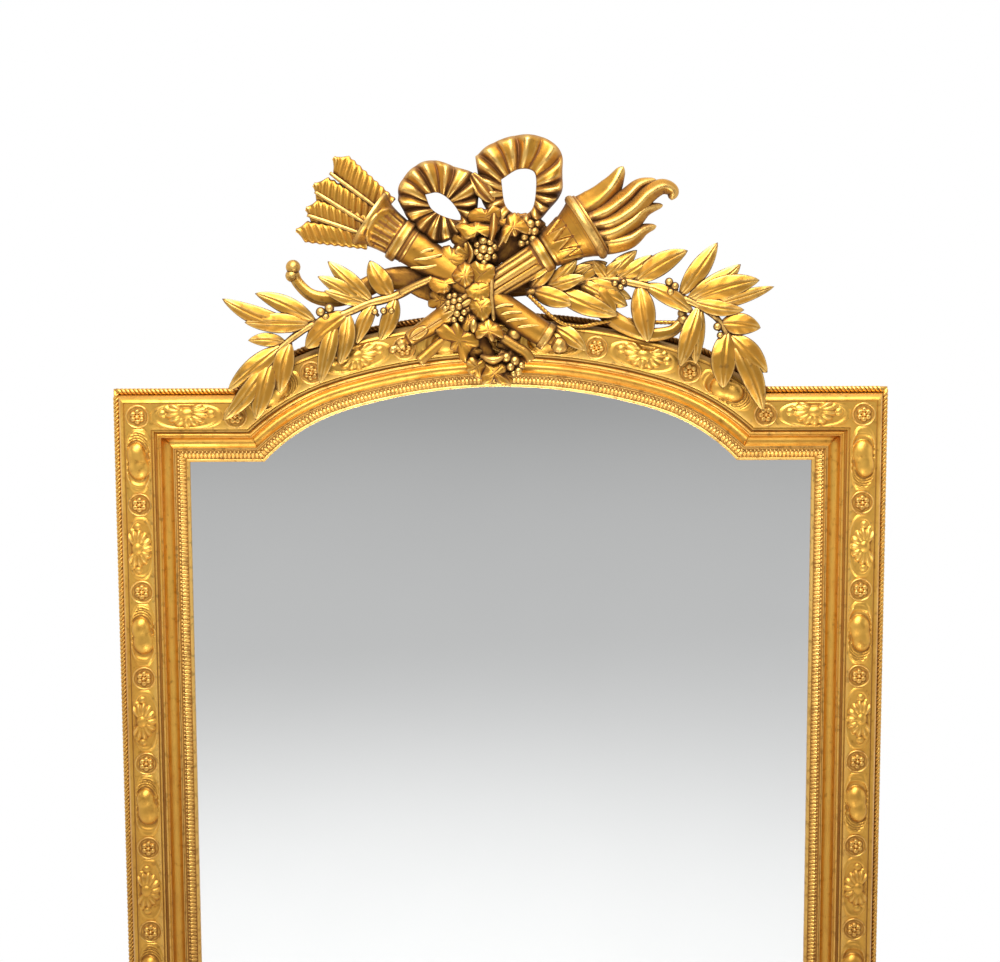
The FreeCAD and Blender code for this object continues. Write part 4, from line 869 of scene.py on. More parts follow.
def gilding_group():
    """Gold leaf over red bole: bole in the hollows, painted shade in deep places, painted pale highlights on
    high places rubbed through to bole in patches, painted shade lower down.
    """
    name = "Leaf over bole"
    if name in bpy.data.node_groups:
        return bpy.data.node_groups[name]
    tree = bpy.data.node_groups.new(name, "ShaderNodeTree")
    for label in ("Gold", "Bole", "Pale"):
        tree_socket(tree, label, "NodeSocketColor")
    for label in ("Relief", "Shade", "Rub", "Hollow"):
        tree_socket(tree, label, "NodeSocketFloat")
    tree_socket(tree, "Colour", "NodeSocketColor", output=True)
    for label in ("Roughness", "Metal", "Height"):
        tree_socket(tree, label, "NodeSocketFloat", output=True)
    given = tree.nodes.new("NodeGroupInput")
    made = tree.nodes.new("NodeGroupOutput")
    where = where_on(tree)
    cloud = noise(tree, where, 16.0, 4.0)
    mottle = noise(tree, where, 110.0, 5.0)
    grain = noise(tree, where, 700.0, 3.0)
    uneven = maths(tree, "MULTIPLY", maths(tree, "SUBTRACT", mottle, 0.5), 0.5)
    relief = maths(tree, "ADD", given.outputs["Relief"], uneven)
    cut = ranged(tree, relief, -0.14, -0.8)
    # Painted shade: the shade mark darkens deep places to bole, joined with the bole in the cut hollows.
    shadow = maths(tree, "ADD", given.outputs["Shade"], maths(tree, "MULTIPLY", uneven, 0.6))
    painted_shade_mask = ranged(tree, shadow, 0.24, 0.72)
    bole_and_painted_shade = maths(tree, "MULTIPLY", maths(tree, "MAXIMUM", cut, painted_shade_mask), given.outputs["Hollow"])
    # Painted highlight: the proud places are painted pale gold.
    proud = maths(tree, "MULTIPLY", ranged(tree, relief, 0.3, 1.0), given.outputs["Rub"])
    deep = blend(tree, 0.75, given.outputs["Gold"], (0.52, 0.22, 0.03))
    leafy = blend(tree, ranged(tree, cloud, 0.42, 0.68, 0.0, 0.5), given.outputs["Gold"], deep)
    leafy = blend(tree, ranged(tree, mottle, 0.46, 0.7, 0.0, 0.45), leafy, deep)
    gold_painted_light_and_wear = blend(tree, proud, leafy, given.outputs["Pale"])
    patchy = maths(tree, "ADD", mottle, maths(tree, "MULTIPLY", proud, 0.16))
    worn = ranged(tree, patchy, 0.6, 0.74, 0.0, 0.42)
    gold_painted_light_and_wear = blend(tree, worn, gold_painted_light_and_wear, given.outputs["Bole"])
    # Painted shade: the gold darkens towards the bottom of the frame.
    level = tree.nodes.new("ShaderNodeSeparateXYZ")
    wire(tree, where, level.inputs["Vector"])
    low_painted_shade = ranged(tree, level.outputs["Z"], 1.35, 0.55, 0.0, 0.45)
    gold_painted_light_and_wear = blend(tree, low_painted_shade, gold_painted_light_and_wear, (0.34, 0.14, 0.022))
    # Painted shade: the deepest places darken from bole towards near black.
    deep_painted_shade = ranged(tree, given.outputs["Shade"], 0.5, 0.9)
    bole_in_painted_shade = blend(tree, deep_painted_shade, given.outputs["Bole"], (0.05, 0.016, 0.004))
    wire(tree, blend(tree, bole_and_painted_shade, gold_painted_light_and_wear, bole_in_painted_shade), made.inputs["Colour"])
    satin = ranged(tree, cloud, 0.3, 0.7, 0.34, 0.48)
    satin = maths(tree, "ADD", satin, maths(tree, "MULTIPLY", bole_and_painted_shade, 0.25))
    wire(tree, satin, made.inputs["Roughness"])
    wire(tree, maths(tree, "SUBTRACT", 1.0, maths(tree, "MULTIPLY", bole_and_painted_shade, 0.5)), made.inputs["Metal"])
    tooling = maths(tree, "MULTIPLY", noise(tree, where, 55.0, 1.0), 2.2)
    rough = maths(tree, "ADD", mottle, maths(tree, "MULTIPLY", grain, 0.3))
    wire(tree, maths(tree, "ADD", rough, tooling), made.inputs["Height"])
    return tree


def new_material(name):
    """An empty material with its shader and output."""
    material = bpy.data.materials.new(name)
    material.use_nodes = True
    material.node_tree.nodes.clear()
    shader = material.node_tree.nodes.new("ShaderNodeBsdfPrincipled")
    out = material.node_tree.nodes.new("ShaderNodeOutputMaterial")
    wire(material.node_tree, shader.outputs["BSDF"], out.inputs["Surface"])
    return material, material.node_tree, shader


def gilded(name, finish, gold, highlight_and_wear, bole_and_painted_shade, bump):
    """A gilded material of a given gold."""
    if name in bpy.data.materials:
        return bpy.data.materials[name]
    material, tree, shader = new_material(name)
    group = tree.nodes.new("ShaderNodeGroup")
    group.node_tree = gilding_group()
    for label in ("Relief", "Shade"):
        mark = tree.nodes.new("ShaderNodeAttribute")
        mark.attribute_name = label.lower()
        wire(tree, mark.outputs["Fac"], group.inputs[label])
    for label, colour in (("Gold", gold), ("Bole", finish.bole), ("Pale", finish.pale)):
        group.inputs[label].default_value = (*colour, 1.0)
    group.inputs["Rub"].default_value = highlight_and_wear
    group.inputs["Hollow"].default_value = bole_and_painted_shade
    wire(tree, group.outputs["Colour"], shader.inputs["Base Color"])
    wire(tree, group.outputs["Roughness"], shader.inputs["Roughness"])
    wire(tree, group.outputs["Metal"], shader.inputs["Metallic"])
    add_bump(tree, shader, group.outputs["Height"], bump, 0.0006)
    return material


def gold_leaf(context):
    """The gold of the frame."""
    finish = context.scene.mirror_finish
    return gilded("gold_leaf", finish, finish.gold, finish.highlight_and_wear, 0.7 * finish.bole_and_painted_shade, 0.25)


def crest_gold(context):
    """The gold of the crest, a darker copy of the frame's gold: painted shade over the crest."""
    finish = context.scene.mirror_finish
    return gilded("crest_gold", finish, finish.crest, finish.highlight_and_wear, finish.bole_and_painted_shade, 0.25)


def bare_edge(context):
    """The brown ungilded edge behind the crest, darkened further as painted shadow of the crest."""
    finish = context.scene.mirror_finish
    return gilded("bare_edge", finish, finish.bare_and_shadowed, 0.2, 0.8, 0.4)


def wood(name, pale, dark, grain, across, rough):
    """Sawn and aged timber with its grain along one axis, dark in the pores and stained by age."""
    material, tree, shader = new_material(name)
    where = where_on(tree)
    stretch = tree.nodes.new("ShaderNodeMapping")
    stretch.inputs["Scale"].default_value = grain
    wire(tree, where, stretch.inputs["Vector"])
    rings = tree.nodes.new("ShaderNodeTexWave")
    rings.wave_type = "BANDS"
    rings.bands_direction = across
    rings.inputs["Scale"].default_value = 0.16
    rings.inputs["Distortion"].default_value = 14.0
    rings.inputs["Detail"].default_value = 3.0
    rings.inputs["Detail Scale"].default_value = 0.6
    wire(tree, stretch.outputs["Vector"], rings.inputs["Vector"])
    fibre = noise(tree, stretch.outputs["Vector"], 3.0, 6.0, 0.65)
    streak = noise(tree, stretch.outputs["Vector"], 0.25, 3.0)
    stain = noise(tree, where, 2.2, 5.0)
    colour = blend(tree, ranged(tree, rings.outputs["Fac"], 0.3, 1.0, 0.0, 0.5), pale, dark)
    colour = blend(tree, ranged(tree, streak, 0.4, 0.7, 0.0, 0.5), colour, darker(pale, 0.55))
    colour = blend(tree, ranged(tree, fibre, 0.5, 0.72, 0.0, 0.8), colour, dark)
    colour = blend(tree, ranged(tree, stain, 0.45, 0.8, 0.0, 0.5), colour, darker(dark, 0.4))
    wire(tree, colour, shader.inputs["Base Color"])
    wire(tree, ranged(tree, fibre, 0.3, 0.7, rough, rough + 0.2), shader.inputs["Roughness"])
    add_bump(tree, shader, fibre, 0.5, 0.0008)
    return material


def metal(name, bright, tarnish, rough):
    """Old brass or iron with tarnish in clouds and fine scratches."""
    material, tree, shader = new_material(name)
    where = where_on(tree)
    cloud = noise(tree, where, 120.0, 5.0)
    fine = noise(tree, where, 900.0, 3.0)
    colour = blend(tree, ranged(tree, cloud, 0.4, 0.7, 0.0, 0.85), bright, tarnish)
    wire(tree, colour, shader.inputs["Base Color"])
    wire(tree, ranged(tree, cloud, 0.3, 0.75, rough, rough + 0.3), shader.inputs["Roughness"])
    shader.inputs["Metallic"].default_value = 1.0
    add_bump(tree, shader, fine, 0.2, 0.0003)
    return material


def silvered_glass(tint):
    """A bright silvered plate, a touch grey, with faint foxing."""
    material, tree, shader = new_material("silvered_glass")
    where = where_on(tree)
    cloud = noise(tree, where, 3.0, 3.0)
    speck = noise(tree, where, 160.0, 2.0)
    grey = blend(tree, ranged(tree, cloud, 0.35, 0.7, 0.0, 0.06), tint, (0.7, 0.72, 0.72))
    wire(tree, blend(tree, ranged(tree, speck, 0.76, 0.82, 0.0, 0.12), grey, (0.3, 0.28, 0.24)),
         shader.inputs["Base Color"])
    shader.inputs["Metallic"].default_value = 1.0
    wire(tree, ranged(tree, cloud, 0.3, 0.7, 0.015, 0.03), shader.inputs["Roughness"])
    return material


class MirrorSizes(PropertyGroup):
    """Sizes of the repeated carving."""
    rope_pitch: FloatProperty(name="Rope pitch", description="From strand to strand of the rope bead",
                              default=0.0060, unit="LENGTH")
    rope_lead: FloatProperty(name="Rope lead", description="How far a strand runs along in crossing the bead",
                             default=0.0085, unit="LENGTH")
    leaf_pitch: FloatProperty(name="Leaf pitch", description="From tip to tip of the leaf enrichment",
                              default=0.0056, unit="LENGTH")
    leaf_height: FloatProperty(name="Leaf height", description="Relief of the leaf enrichment",
                               default=0.0017, unit="LENGTH")
    panel_steps: IntProperty(name="Panel steps", description="Cuts along a frieze panel", default=96)


class MirrorFinish(PropertyGroup):
    """Colours and wear of the surfaces."""
    gold: FloatVectorProperty(name="Gold", description="Leaf on the frame",
                              default=(0.84, 0.475, 0.090), subtype="COLOR")
    # A darker copy of the frame's gold: painted shade over the crest.
    crest: FloatVectorProperty(name="Crest gold", description="Deeper leaf on the crest",
                               default=(0.565, 0.278, 0.041), subtype="COLOR")
    # Colour of the painted highlight on high places.
    pale: FloatVectorProperty(name="Pale gold", description="Leaf where it is rubbed bright",
                              default=(0.95, 0.64, 0.21), subtype="COLOR")
    bole: FloatVectorProperty(name="Bole", description="Red-brown ground that shows in the hollows",
                              default=(0.17, 0.055, 0.012), subtype="COLOR")
    # Ungilded edge behind the crest, darker still as painted shadow of the crest.
    bare_and_shadowed: FloatVectorProperty(name="Bare edge", description="Ungilded edge behind the crest",
                              default=(0.20, 0.075, 0.02), subtype="COLOR")
    # Strength of the painted highlight on high places, and of their wear through to bole.
    highlight_and_wear: FloatProperty(name="Rub", description="How far high places are rubbed pale", default=0.6)
    # How far bole shows in hollows, and how far painted shade darkens the deep places.
    bole_and_painted_shade: FloatProperty(name="Hollow", description="How far bole shows in hollows", default=0.9)
    plate: FloatVectorProperty(name="Plate", description="Tint of the silvered glass",
                               default=(0.93, 0.94, 0.94), subtype="COLOR")
    pine: FloatVectorProperty(name="Pine", description="Aged softwood at the back",
                              default=(0.30, 0.165, 0.062), subtype="COLOR")
    oak: FloatVectorProperty(name="Oak", description="Turn buttons and pegs",
                             default=(0.26, 0.145, 0.06), subtype="COLOR")
    brass: FloatVectorProperty(name="Brass", description="Hanger plates and rings",
                               default=(0.70, 0.50, 0.20), subtype="COLOR")
    steel: FloatVectorProperty(name="Steel", description="Screws",
                               default=(0.35, 0.34, 0.33), subtype="COLOR")


class MirrorStage(PropertyGroup):
    """Camera, floor and lights."""
    camera_place: FloatVectorProperty(name="Camera", description="Where the camera stands",
                                      default=(0.0, -2.7228, 1.6454), subtype="TRANSLATION")
    camera_drop: FloatProperty(name="Pitch", description="How far the camera looks down",
                               default=radians(6.88), subtype="ANGLE")
    camera_roll: FloatProperty(name="Roll", description="How far the camera leans",
                               default=radians(0.2), subtype="ANGLE")
    lens: FloatProperty(name="Lens", description="Focal length in mm", default=68.4)
    key_power: FloatProperty(name="Key", description="Power of the light over the front in watts",
                             default=70.0)
    top_power: FloatProperty(name="Top", description="Power of the light above in watts", default=40.0)
    fill_power: FloatProperty(name="Fill", description="Power of the low side lights in watts", default=6.0)
    low_power: FloatProperty(name="Low", description="Power of the lamp on the floor in watts", default=36.0)
    floor_near: FloatVectorProperty(name="Near floor", description="Floor by the mirror",
                                    default=(0.73, 0.73, 0.73), subtype="COLOR")
    floor_far: FloatVectorProperty(name="Far floor", description="Floor away in front",
                                   default=(0.47, 0.47, 0.47), subtype="COLOR")


def frieze_places(kind):
    """The marked places of one kind of frieze ornament."""
    places = []
    for name, x, z, turn, stretch in frieze_plan():
        if name == kind:
            places.append(((x, -FRIEZE, z), (0.0, turn, 0.0), (stretch, 1.0, 1.0)))
    return places


class MIRROR_OT_moulding(Operator):
    """Cuts and gilds the mouldings of the frame"""
    bl_idname = "mirror.moulding"
    bl_label = "Mouldings"

    def execute(self, context):
        ovolo = [(OVOLO_HEART[0] - OVOLO_REACH[0] * cos(a), OVOLO_HEART[1] + OVOLO_REACH[1] * sin(a))
                 for a in np.linspace(0.0, pi / 2, OVOLO_STEPS)]
        section = [*MOULDING_BACK, *MOULDING_OUTER, *ovolo[1:-1], *MOULDING_FACE]
        for member in MEMBERS:
            name = f"gilt_moulding_{member}"
            carving = Carving()
            sweep(carving, member, section)
            piece = place_piece(name, carving.mesh(name), gold_leaf(context), [f"moulding_{member}"],
                                reach=0.0012, sharp=38.0)
            if member == "arch":
                # Painted shadow of the crest over the ungilded outer edge of the arch.
                bare_and_shadowed = [BARE_EDGE_PAINTED_SHADOW if inset < BARE_INSET and depth < BARE_DEPTH else 0.0
                        for inset, depth in section] * len(member_steps(member))
                shade = piece.data.attributes.new("shade", "FLOAT", "POINT")
                shade.data.foreach_set("value", np.array([*bare_and_shadowed, 0.0, 0.0], np.float32))
        return {"FINISHED"}


class MIRROR_OT_rope(Operator):
    """Carves the rope bead round the edge"""
    bl_idname = "mirror.rope"
    bl_label = "Rope bead"

    def execute(self, context):
        sizes = context.scene.mirror_sizes
        motif = motif_object("rope_strand", strand(BEAD_RADIUS, sizes.rope_pitch / MM, sizes.rope_lead / MM))
        turn = np.linspace(0.0, pi, 9)
        core = [(BEAD_MIDDLE[0] - (BEAD_RADIUS - 0.3) * cos(a), BEAD_MIDDLE[1] + (BEAD_RADIUS - 0.3) * sin(a))
                for a in turn]
        section = [*BEAD_BACK, *core]
        for member in MEMBERS:
            # The rope of the arch is ungilded and darkened as painted shadow of the crest.
            finish = bare_edge(context) if member == "arch" else gold_leaf(context)
            short = SHOULDER_TRIM if "shoulder" in member else MITRE_TRIM
            strands = grow(run_tree(), run_mesh(member, *BEAD_MIDDLE, short=short),
                           {"Motif": motif, "Pitch": sizes.rope_pitch, "Finish": finish})
            carving = Carving()
            sweep(carving, member, section)
            mesh = join_meshes(carving.mesh(f"rope_{member}"), strands)
            place_piece(f"rope_{member}", mesh, finish, [f"rope_bead_{member}"], reach=0.0016)
        drop_motif(motif)
        return {"FINISHED"}


class MIRROR_OT_slip(Operator):
    """Carves the sight slip with its leaf tips"""
    bl_idname = "mirror.slip"
    bl_label = "Sight slip"

    def execute(self, context):
        sizes = context.scene.mirror_sizes
        tip = leaf_tip(sizes.leaf_pitch / MM * TIP_FILL, TIP_LENGTH, sizes.leaf_height / MM)
        motif = motif_object("leaf_tip", tip)
        for member in MEMBERS:
            finish = gold_leaf(context)
            tips = grow(run_tree(), run_mesh(member, *TIP_LINE),
                        {"Motif": motif, "Pitch": sizes.leaf_pitch, "Finish": finish})
            carving = Carving()
            sweep(carving, member, SLIP_SECTION)
            mesh = join_meshes(carving.mesh(f"slip_{member}"), tips)
            place_piece(f"slip_{member}", mesh, finish, [f"sight_slip_{member}"], reach=0.0016, sharp=42.0)
        drop_motif(motif)
        return {"FINISHED"}


class MIRROR_OT_frieze(Operator):
    """Sets the rosettes, cabochons and shells of the frieze"""
    bl_idname = "mirror.frieze"
    bl_label = "Frieze ornaments"

    def execute(self, context):
        steps = context.scene.mirror_sizes.panel_steps
        kinds = (("R", rosette(), "rosettes"), ("K", relief_sheet(cabochon_height, steps), "cabochons"),
                 ("S", relief_sheet(shell_height, steps), "shells"))
        for kind, carving, name in kinds:
            motif = motif_object(f"{name}_motif", carving)
            mesh = grow(place_tree(), places_mesh(frieze_places(kind)),
                        {"Motif": motif, "Finish": gold_leaf(context)})
            place_piece(f"carved_{name}", mesh, gold_leaf(context), [f"frieze_{name}"], reach=0.0022)
            drop_motif(motif)
        return {"FINISHED"}


CREST_PIECES = ("carved_laurel_left", "carved_laurel_right", "carved_torch", "carved_quiver", "carved_arrows",
                "carved_flame", "carved_ribbon_left", "carved_ribbon_right", "carved_bow", "carved_string",
                "carved_garland")
LEFT_STEM = ((-62, 157), (-102, 151), (-148, 129), (-185, 119), (-220, 104), (-262, 90), (-300, 64),
             (-322, 40))
LEFT_LEAVES = (
    (-178, 121, -240, 178, 18, 4), (-190, 117, -254, 157, 16, 6), (-150, 128, -182, 179, 22, 0),
    (-184, 119, -245, 137, 14, 8), (-257, 94, -341, 134, 18, 4), (-275, 84, -386, 127, 20, 8),
    (-265, 92, -355, 94, 20, 12), (-300, 67, -351, 69, 14, 6), (-312, 52, -344, 47, 10, 4),
    (-305, 62, -380, 1, 20, 6), (-293, 66, -308, -5, 22, 8), (-322, 42, -388, -42, 18, 8),
    (-318, 45, -342, -42, 22, 10), (-212, 106, -272, 57, 26, 8), (-212, 106, -225, 35, 18, 12),
    (-228, 101, -252, 8, 18, 14), (-174, 121, -202, 62, 16, 2), (-146, 129, -170, 65, 18, 2),
)
LEFT_BERRIES = ((-250, 108, 7), (-238, 113, 7), (-243, 101, 6), (-175, 108, 5), (-163, 109, 5),
                (-152, 109, 5))
RIGHT_STEM = ((36, 133), (90, 144), (145, 152), (200, 143), (252, 126), (298, 101), (322, 64))
RIGHT_LEAVES = (
    (42, 138, 80, 186, 18, 16), (62, 140, 107, 180, 16, 14), (90, 146, 150, 175, 18, 6),
    (145, 152, 191, 192, 16, 4), (162, 152, 212, 185, 16, 4), (187, 147, 261, 191, 22, 6),
    (250, 128, 302, 202, 20, 4), (260, 124, 334, 172, 20, 6), (265, 122, 360, 150, 24, 8),
    (285, 112, 381, 141, 14, 2), (267, 121, 339, 109, 16, 10), (306, 90, 362, 84, 22, 6),
    (320, 75, 372, 22, 24, 6), (317, 80, 311, 0, 26, 8), (321, 70, 367, -32, 22, 4),
    (277, 114, 250, 30, 20, 10), (280, 112, 273, 33, 16, 6), (200, 144, 270, 104, 18, 8),
    (194, 145, 206, 64, 24, 14), (125, 149, 178, 115, 22, 8), (118, 147, 160, 100, 24, 12),
    (42, 137, 105, 118, 20, 14), (72, 142, 165, 102, 22, 16), (104, 147, 184, 124, 18, 6),
    (60, 140, 118, 156, 16, 18),
    (140, 152, 172, 180, 14, 8), (66, 90, 120, 53, 18, 22), (24, 150, 74, 176, 14, 22),
    (150, 150, 128, 178, 13, 6),
    (84, 146, 128, 172, 13, 12), (108, 148, 150, 128, 15, 12),
)
RIGHT_BERRIES = ((160, 146, 5), (172, 148, 5), (168, 141, 5), (235, 148, 6), (243, 142, 6), (237, 134, 6),
                 (302, 86, 6), (306, 74, 5))
LEAF_FULLNESS = 1.42
LAUREL_LOW = -6.0
LAUREL_GAIN = 20.0


def laurel_rise(x):
    """How far the laurel stands out: it comes forward as it falls over the shoulders."""
    return LAUREL_LOW + LAUREL_GAIN * min(max((abs(x) - 120.0) / 202.0, 0.0), 1.0)


def berries_mesh(berries, finish):
    """Round berries set by the tree of nodes, each with its own size."""
    single = Carving()
    ball(single, (0.0, 0.0, 0.0), 1.0, rows=9, sides=14)
    motif = motif_object("berry", single)
    places = [(point, (0.0, 0.3 * index, 0.0), (size, size, size))
              for index, (point, size) in enumerate(berries)]
    mesh = grow(place_tree(), places_mesh(places), {"Motif": motif, "Finish": finish})
    drop_motif(motif)
    return mesh


def laurel(context, name, node, stem, leaves, berries):
    """One laurel branch: a knotted stem, leaves with cut midribs and clusters of berries."""
    carving = Carving()
    path = smooth_path([spot(x, z, laurel_rise(x)) for x, z in stem], 60)
    knots = 1.0 + 0.12 * np.abs(np.sin(np.linspace(0.0, 9.0 * pi, 60)))
    tube(carving, path, along((6.0, 6.0, 5.2, 4.0), 60) * knots, sides=14)
    for index, (x0, z0, x1, z1, width, lift) in enumerate(leaves):
        base = spot(x0, z0, laurel_rise(x0) + 1.1)
        tip = spot(x1, z1, laurel_rise(x0) + lift)
        bow = 0.05 * sin(index * 2.1)
        leaf(carving, base, tip, width * LEAF_FULLNESS, bow=bow, arch=0.06, thick=3.2)
    finish = crest_gold(context)
    places = [(spot(x, z, laurel_rise(x) + 5.0), size) for x, z, size in berries]
    for point, size in places:
        tube(carving, np.linspace(point + [0.0, size, 0.0], point + [4.0, 9.0, -6.0], 5), 2.4, sides=8)
    mesh = join_meshes(carving.mesh(name), berries_mesh(places, finish))
    place_piece(name, mesh, finish, [node])


class MIRROR_OT_laurels(Operator):
    """Carves the two laurel branches"""
    bl_idname = "mirror.laurels"
    bl_label = "Laurels"

    def execute(self, context):
        laurel(context, "carved_laurel_left", "laurel_left", LEFT_STEM, LEFT_LEAVES, LEFT_BERRIES)
        laurel(context, "carved_laurel_right", "laurel_right", RIGHT_STEM, RIGHT_LEAVES, RIGHT_BERRIES)
        return {"FINISHED"}


# Torch and quiver: middle, tilt in degrees, then distance along and radius at each station.
TORCH_MIDDLE = (0.0, 149.0, 0.0)
TORCH_TILT = 32.0
QUIVER_MIDDLE = (-138.0, 207.0, -12.0)
QUIVER_TILT = -33.6
TORCH_STATIONS = (
    (-184, 2), (-181, 5), (-177, 6), (-172, 4), (-169, 4.5), (-167, 8), (-161, 8.6), (-157, 6), (-153, 7),
    (-150, 11), (-120, 13.4), (-96, 15.6), (-84, 17.6), (60, 22.0),
    (63, 23), (63.5, 26), (66, 26.8), (74, 26.8), (76.5, 26), (77, 22.6), (80, 25), (92, 27.4),
    (106, 31), (118, 35),
    (128, 39.4), (135, 43.4),
    (136, 48), (139, 50.4), (143, 50.4), (146, 48.6), (147, 46.8), (150, 46.2), (151, 40), (151.5, 30),
)
QUIVER_STATIONS = (
    (-56, 31), (-55.5, 38.6), (-52, 39.4), (-46, 36.7), (-40, 34.5), (-34, 32.7), (-28, 31.2), (-22, 30.0),
    (-16, 29.1), (-8, 28), (-7, 31.4), (-5, 32.6), (4, 32.6), (6, 31.4), (7, 27.4), (12, 26.6), (14, 27.4),
    (16, 26.2), (60, 23.4), (140, 21), (232, 18.4), (237, 18), (238, 20.4), (246, 20.4), (248, 18),
    (249, 9),
    (255, 8), (258, 10.4), (264, 11.4), (270, 10), (276, 4), (277, 1.5),
)


def from_front(a):
    """The turn round a limb, counted both ways from its front."""
    return np.mod(a + pi, 2 * pi) - pi


def torch_dress(s, a):
    """Flutes on the torch's shaft, a row of points on its cup and a raised oval on its handle."""
    front = from_front(a)
    bar = np.abs(np.cos(front * 5.0))
    shaft = smooth_step(-92.0, -84.0, s - 6.0 * bar) * smooth_step(60.0, 53.0, s - 6.0 * bar)
    flutes = (3.4 * bar ** 0.6 - 2.6) * shaft
    part = (s - 84.0) / 51.0
    zig = 0.40 + 0.24 * (4.0 * np.abs((front * 1.9) % 1.0 - 0.5) - 1.0)
    cup = smooth_step(83.0, 86.0, s) * smooth_step(130.0, 125.0, s)
    tips = 1.5 * smooth_step(0.05, -0.05, part - zig) * cup
    cuts = -1.7 * np.exp(-((part - zig - 0.03) / 0.07) ** 2) * cup
    oval = 2.6 * smooth_step(1.0, 0.7, ((s + 134.0) / 15.0) ** 2 + (front / 0.62) ** 2)
    facets = -0.9 * np.exp(-(np.sin(front * 2.5) / 0.16) ** 2) * smooth_step(-150.0, -146.0, s)
    return flutes + tips + cuts + oval + facets * smooth_step(-94.0, -98.0, s)


def quiver_dress(s, a):
    """Flutes with round heads in front of the quiver's mouth, and its two lips."""
    front = from_front(a)
    head = -46.0 + 16.0 * (front / 1.15) ** 2
    panel = smooth_step(1.2, 1.12, np.abs(front))
    flute = np.abs(np.sin(front * 8.2))
    mouth = smooth_step(head + 2.0, head + 9.0, s) * smooth_step(-9.0, -13.0, s) * panel
    flutes = -2.2 * flute ** 1.5 * mouth
    border = 2.0 * np.exp(-((s - head) / 2.0) ** 2) * panel
    lip = 4.0 * np.exp(-((np.abs(front) - 1.45) / 0.4) ** 2) * smooth_step(-36.0, -55.0, s)
    return flutes + border + lip


QUIVER_BARS = (
    ((-112, 189), (-102, 193), (-91, 195)), ((-119, 180), (-100, 182), (-80, 187)),
    ((-124, 169), (-104, 169), (-84, 173)), ((-8, 113), (5, 117), (19, 117)), ((1, 104), (15, 107),
                                                                               (30, 107)),
    ((8, 94), (20, 97), (38, 98)), ((24, 86), (38, 88), (54, 88)),
)


class MIRROR_OT_torch(Operator):
    """Turns and carves the torch"""
    bl_idname = "mirror.torch"
    bl_label = "Torch"

    def execute(self, context):
        carving = Carving()
        turned(carving, spot(*TORCH_MIDDLE), TORCH_TILT, TORCH_STATIONS, 240, 160, torch_dress, -8.0)
        place_piece("carved_torch", carving.mesh("carved_torch"), crest_gold(context), ["torch"], sharp=55.0)
        return {"FINISHED"}


class MIRROR_OT_quiver(Operator):
    """Turns and carves the quiver"""
    bl_idname = "mirror.quiver"
    bl_label = "Quiver"

    def execute(self, context):
        carving = Carving()
        turned(carving, spot(*QUIVER_MIDDLE), QUIVER_TILT, QUIVER_STATIONS, 240, 200, quiver_dress, -20.0,
               forward=0.07)
        for bar in QUIVER_BARS:
            rise = 14.0 if bar[0][0] < -20 else 20.0
            path = smooth_path([spot(x, z, rise) for x, z in bar], 14)
            tube(carving, path, 2.5 * np.sin(np.linspace(0.12, pi - 0.12, 14)) ** 0.4, sides=12)
        place_piece("carved_quiver", carving.mesh("carved_quiver"), crest_gold(context), ["quiver"],
                    sharp=55.0)
        return {"FINISHED"}


VANES = (
    ((-156, 252), (-231, 321), 32, 33), ((-174, 240), (-259, 284), 34, 37), ((-182, 224), (-270, 251),
                                                                             32, 35),
    ((-184, 208), (-284, 221), 28, 30),
)
SHAFTS = (((-172, 252), (-236, 300)), ((-186, 229), (-257, 274)), ((-190, 215), (-268, 242)))


class MIRROR_OT_arrows(Operator):
    """Carves the feathered ends of the arrows"""
    bl_idname = "mirror.arrows"
    bl_label = "Arrows"

    def execute(self, context):
        carving = Carving()
        rows, cols = 64, 21
        share = np.linspace(0.0, 1.0, rows)[:, None]
        across = np.linspace(-1.0, 1.0, cols)[None, :]
        for index, (base, tip, wide, end) in enumerate(VANES):
            rise = -12.0 + 2.0 * index
            middle = spot((base[0] + tip[0]) / 2, (base[1] + tip[1]) / 2, rise + 2.0)
            path = smooth_path([spot(*base, rise), middle, spot(*tip, rise)], rows)
            travel = share[:, 0]
            half = 0.5 * (wide + (end - wide) * travel) * (1.0 - 0.8 * smooth_step(0.84, 1.0, travel))
            half = half * (1.0 + 0.05 * np.sin(travel * 60.0))
            barbs = 2.6 * np.abs(np.sin(pi * (share * 10.0 - across * 0.75))) ** 0.8
            front = 3.4 * (1.0 - across ** 2) ** 0.4 + barbs * (1.0 - across ** 6)
            relief_strip(carving, path, half, front, 6.0)
        for index, (base, tip) in enumerate(SHAFTS):
            rise = -5.0 + 2.0 * index
            path = smooth_path([spot(*base, rise), spot(*tip, rise)], 24)
            tube(carving, path, 3.4 * np.sin(np.linspace(0.5, pi - 0.3, 24)) ** 0.3, sides=12)
        place_piece("carved_arrows", carving.mesh("carved_arrows"), crest_gold(context), ["arrows"],
                    reach=0.003)
        return {"FINISHED"}


FLAMES = (
    (((104, 222, -6), (140, 234, -4), (174, 248, -4), (206, 262, -8)), (70, 74, 58, 14), 8, 1.5),
    (((100, 240, -2), (130, 255, 2), (154, 278, 3), (171, 307, 0)), (44, 44, 32, 10), 15, 0.5),
    (((112, 232, 4), (146, 244, 8), (174, 264, 8), (194, 282, 5), (217, 288, 0)), (30, 32, 28, 20, 8),
     14, 0.5),
    (((118, 224, 4), (154, 230, 10), (184, 248, 12), (204, 268, 9), (224, 279, 6), (239, 274, 4),
      (238, 261, 2)),
     (30, 32, 32, 30, 26, 21, 15), 14, 0.5),
    (((120, 212, 4), (154, 215, 10), (182, 231, 10), (200, 247, 6), (226, 254, -1)), (30, 34, 30, 22, 6),
     13, 0.5),
    (((126, 204, 0), (154, 203, 5), (180, 208, 8), (199, 220, 5), (217, 225, 0)), (28, 34, 30, 20, 7),
     13, 0.5),
)


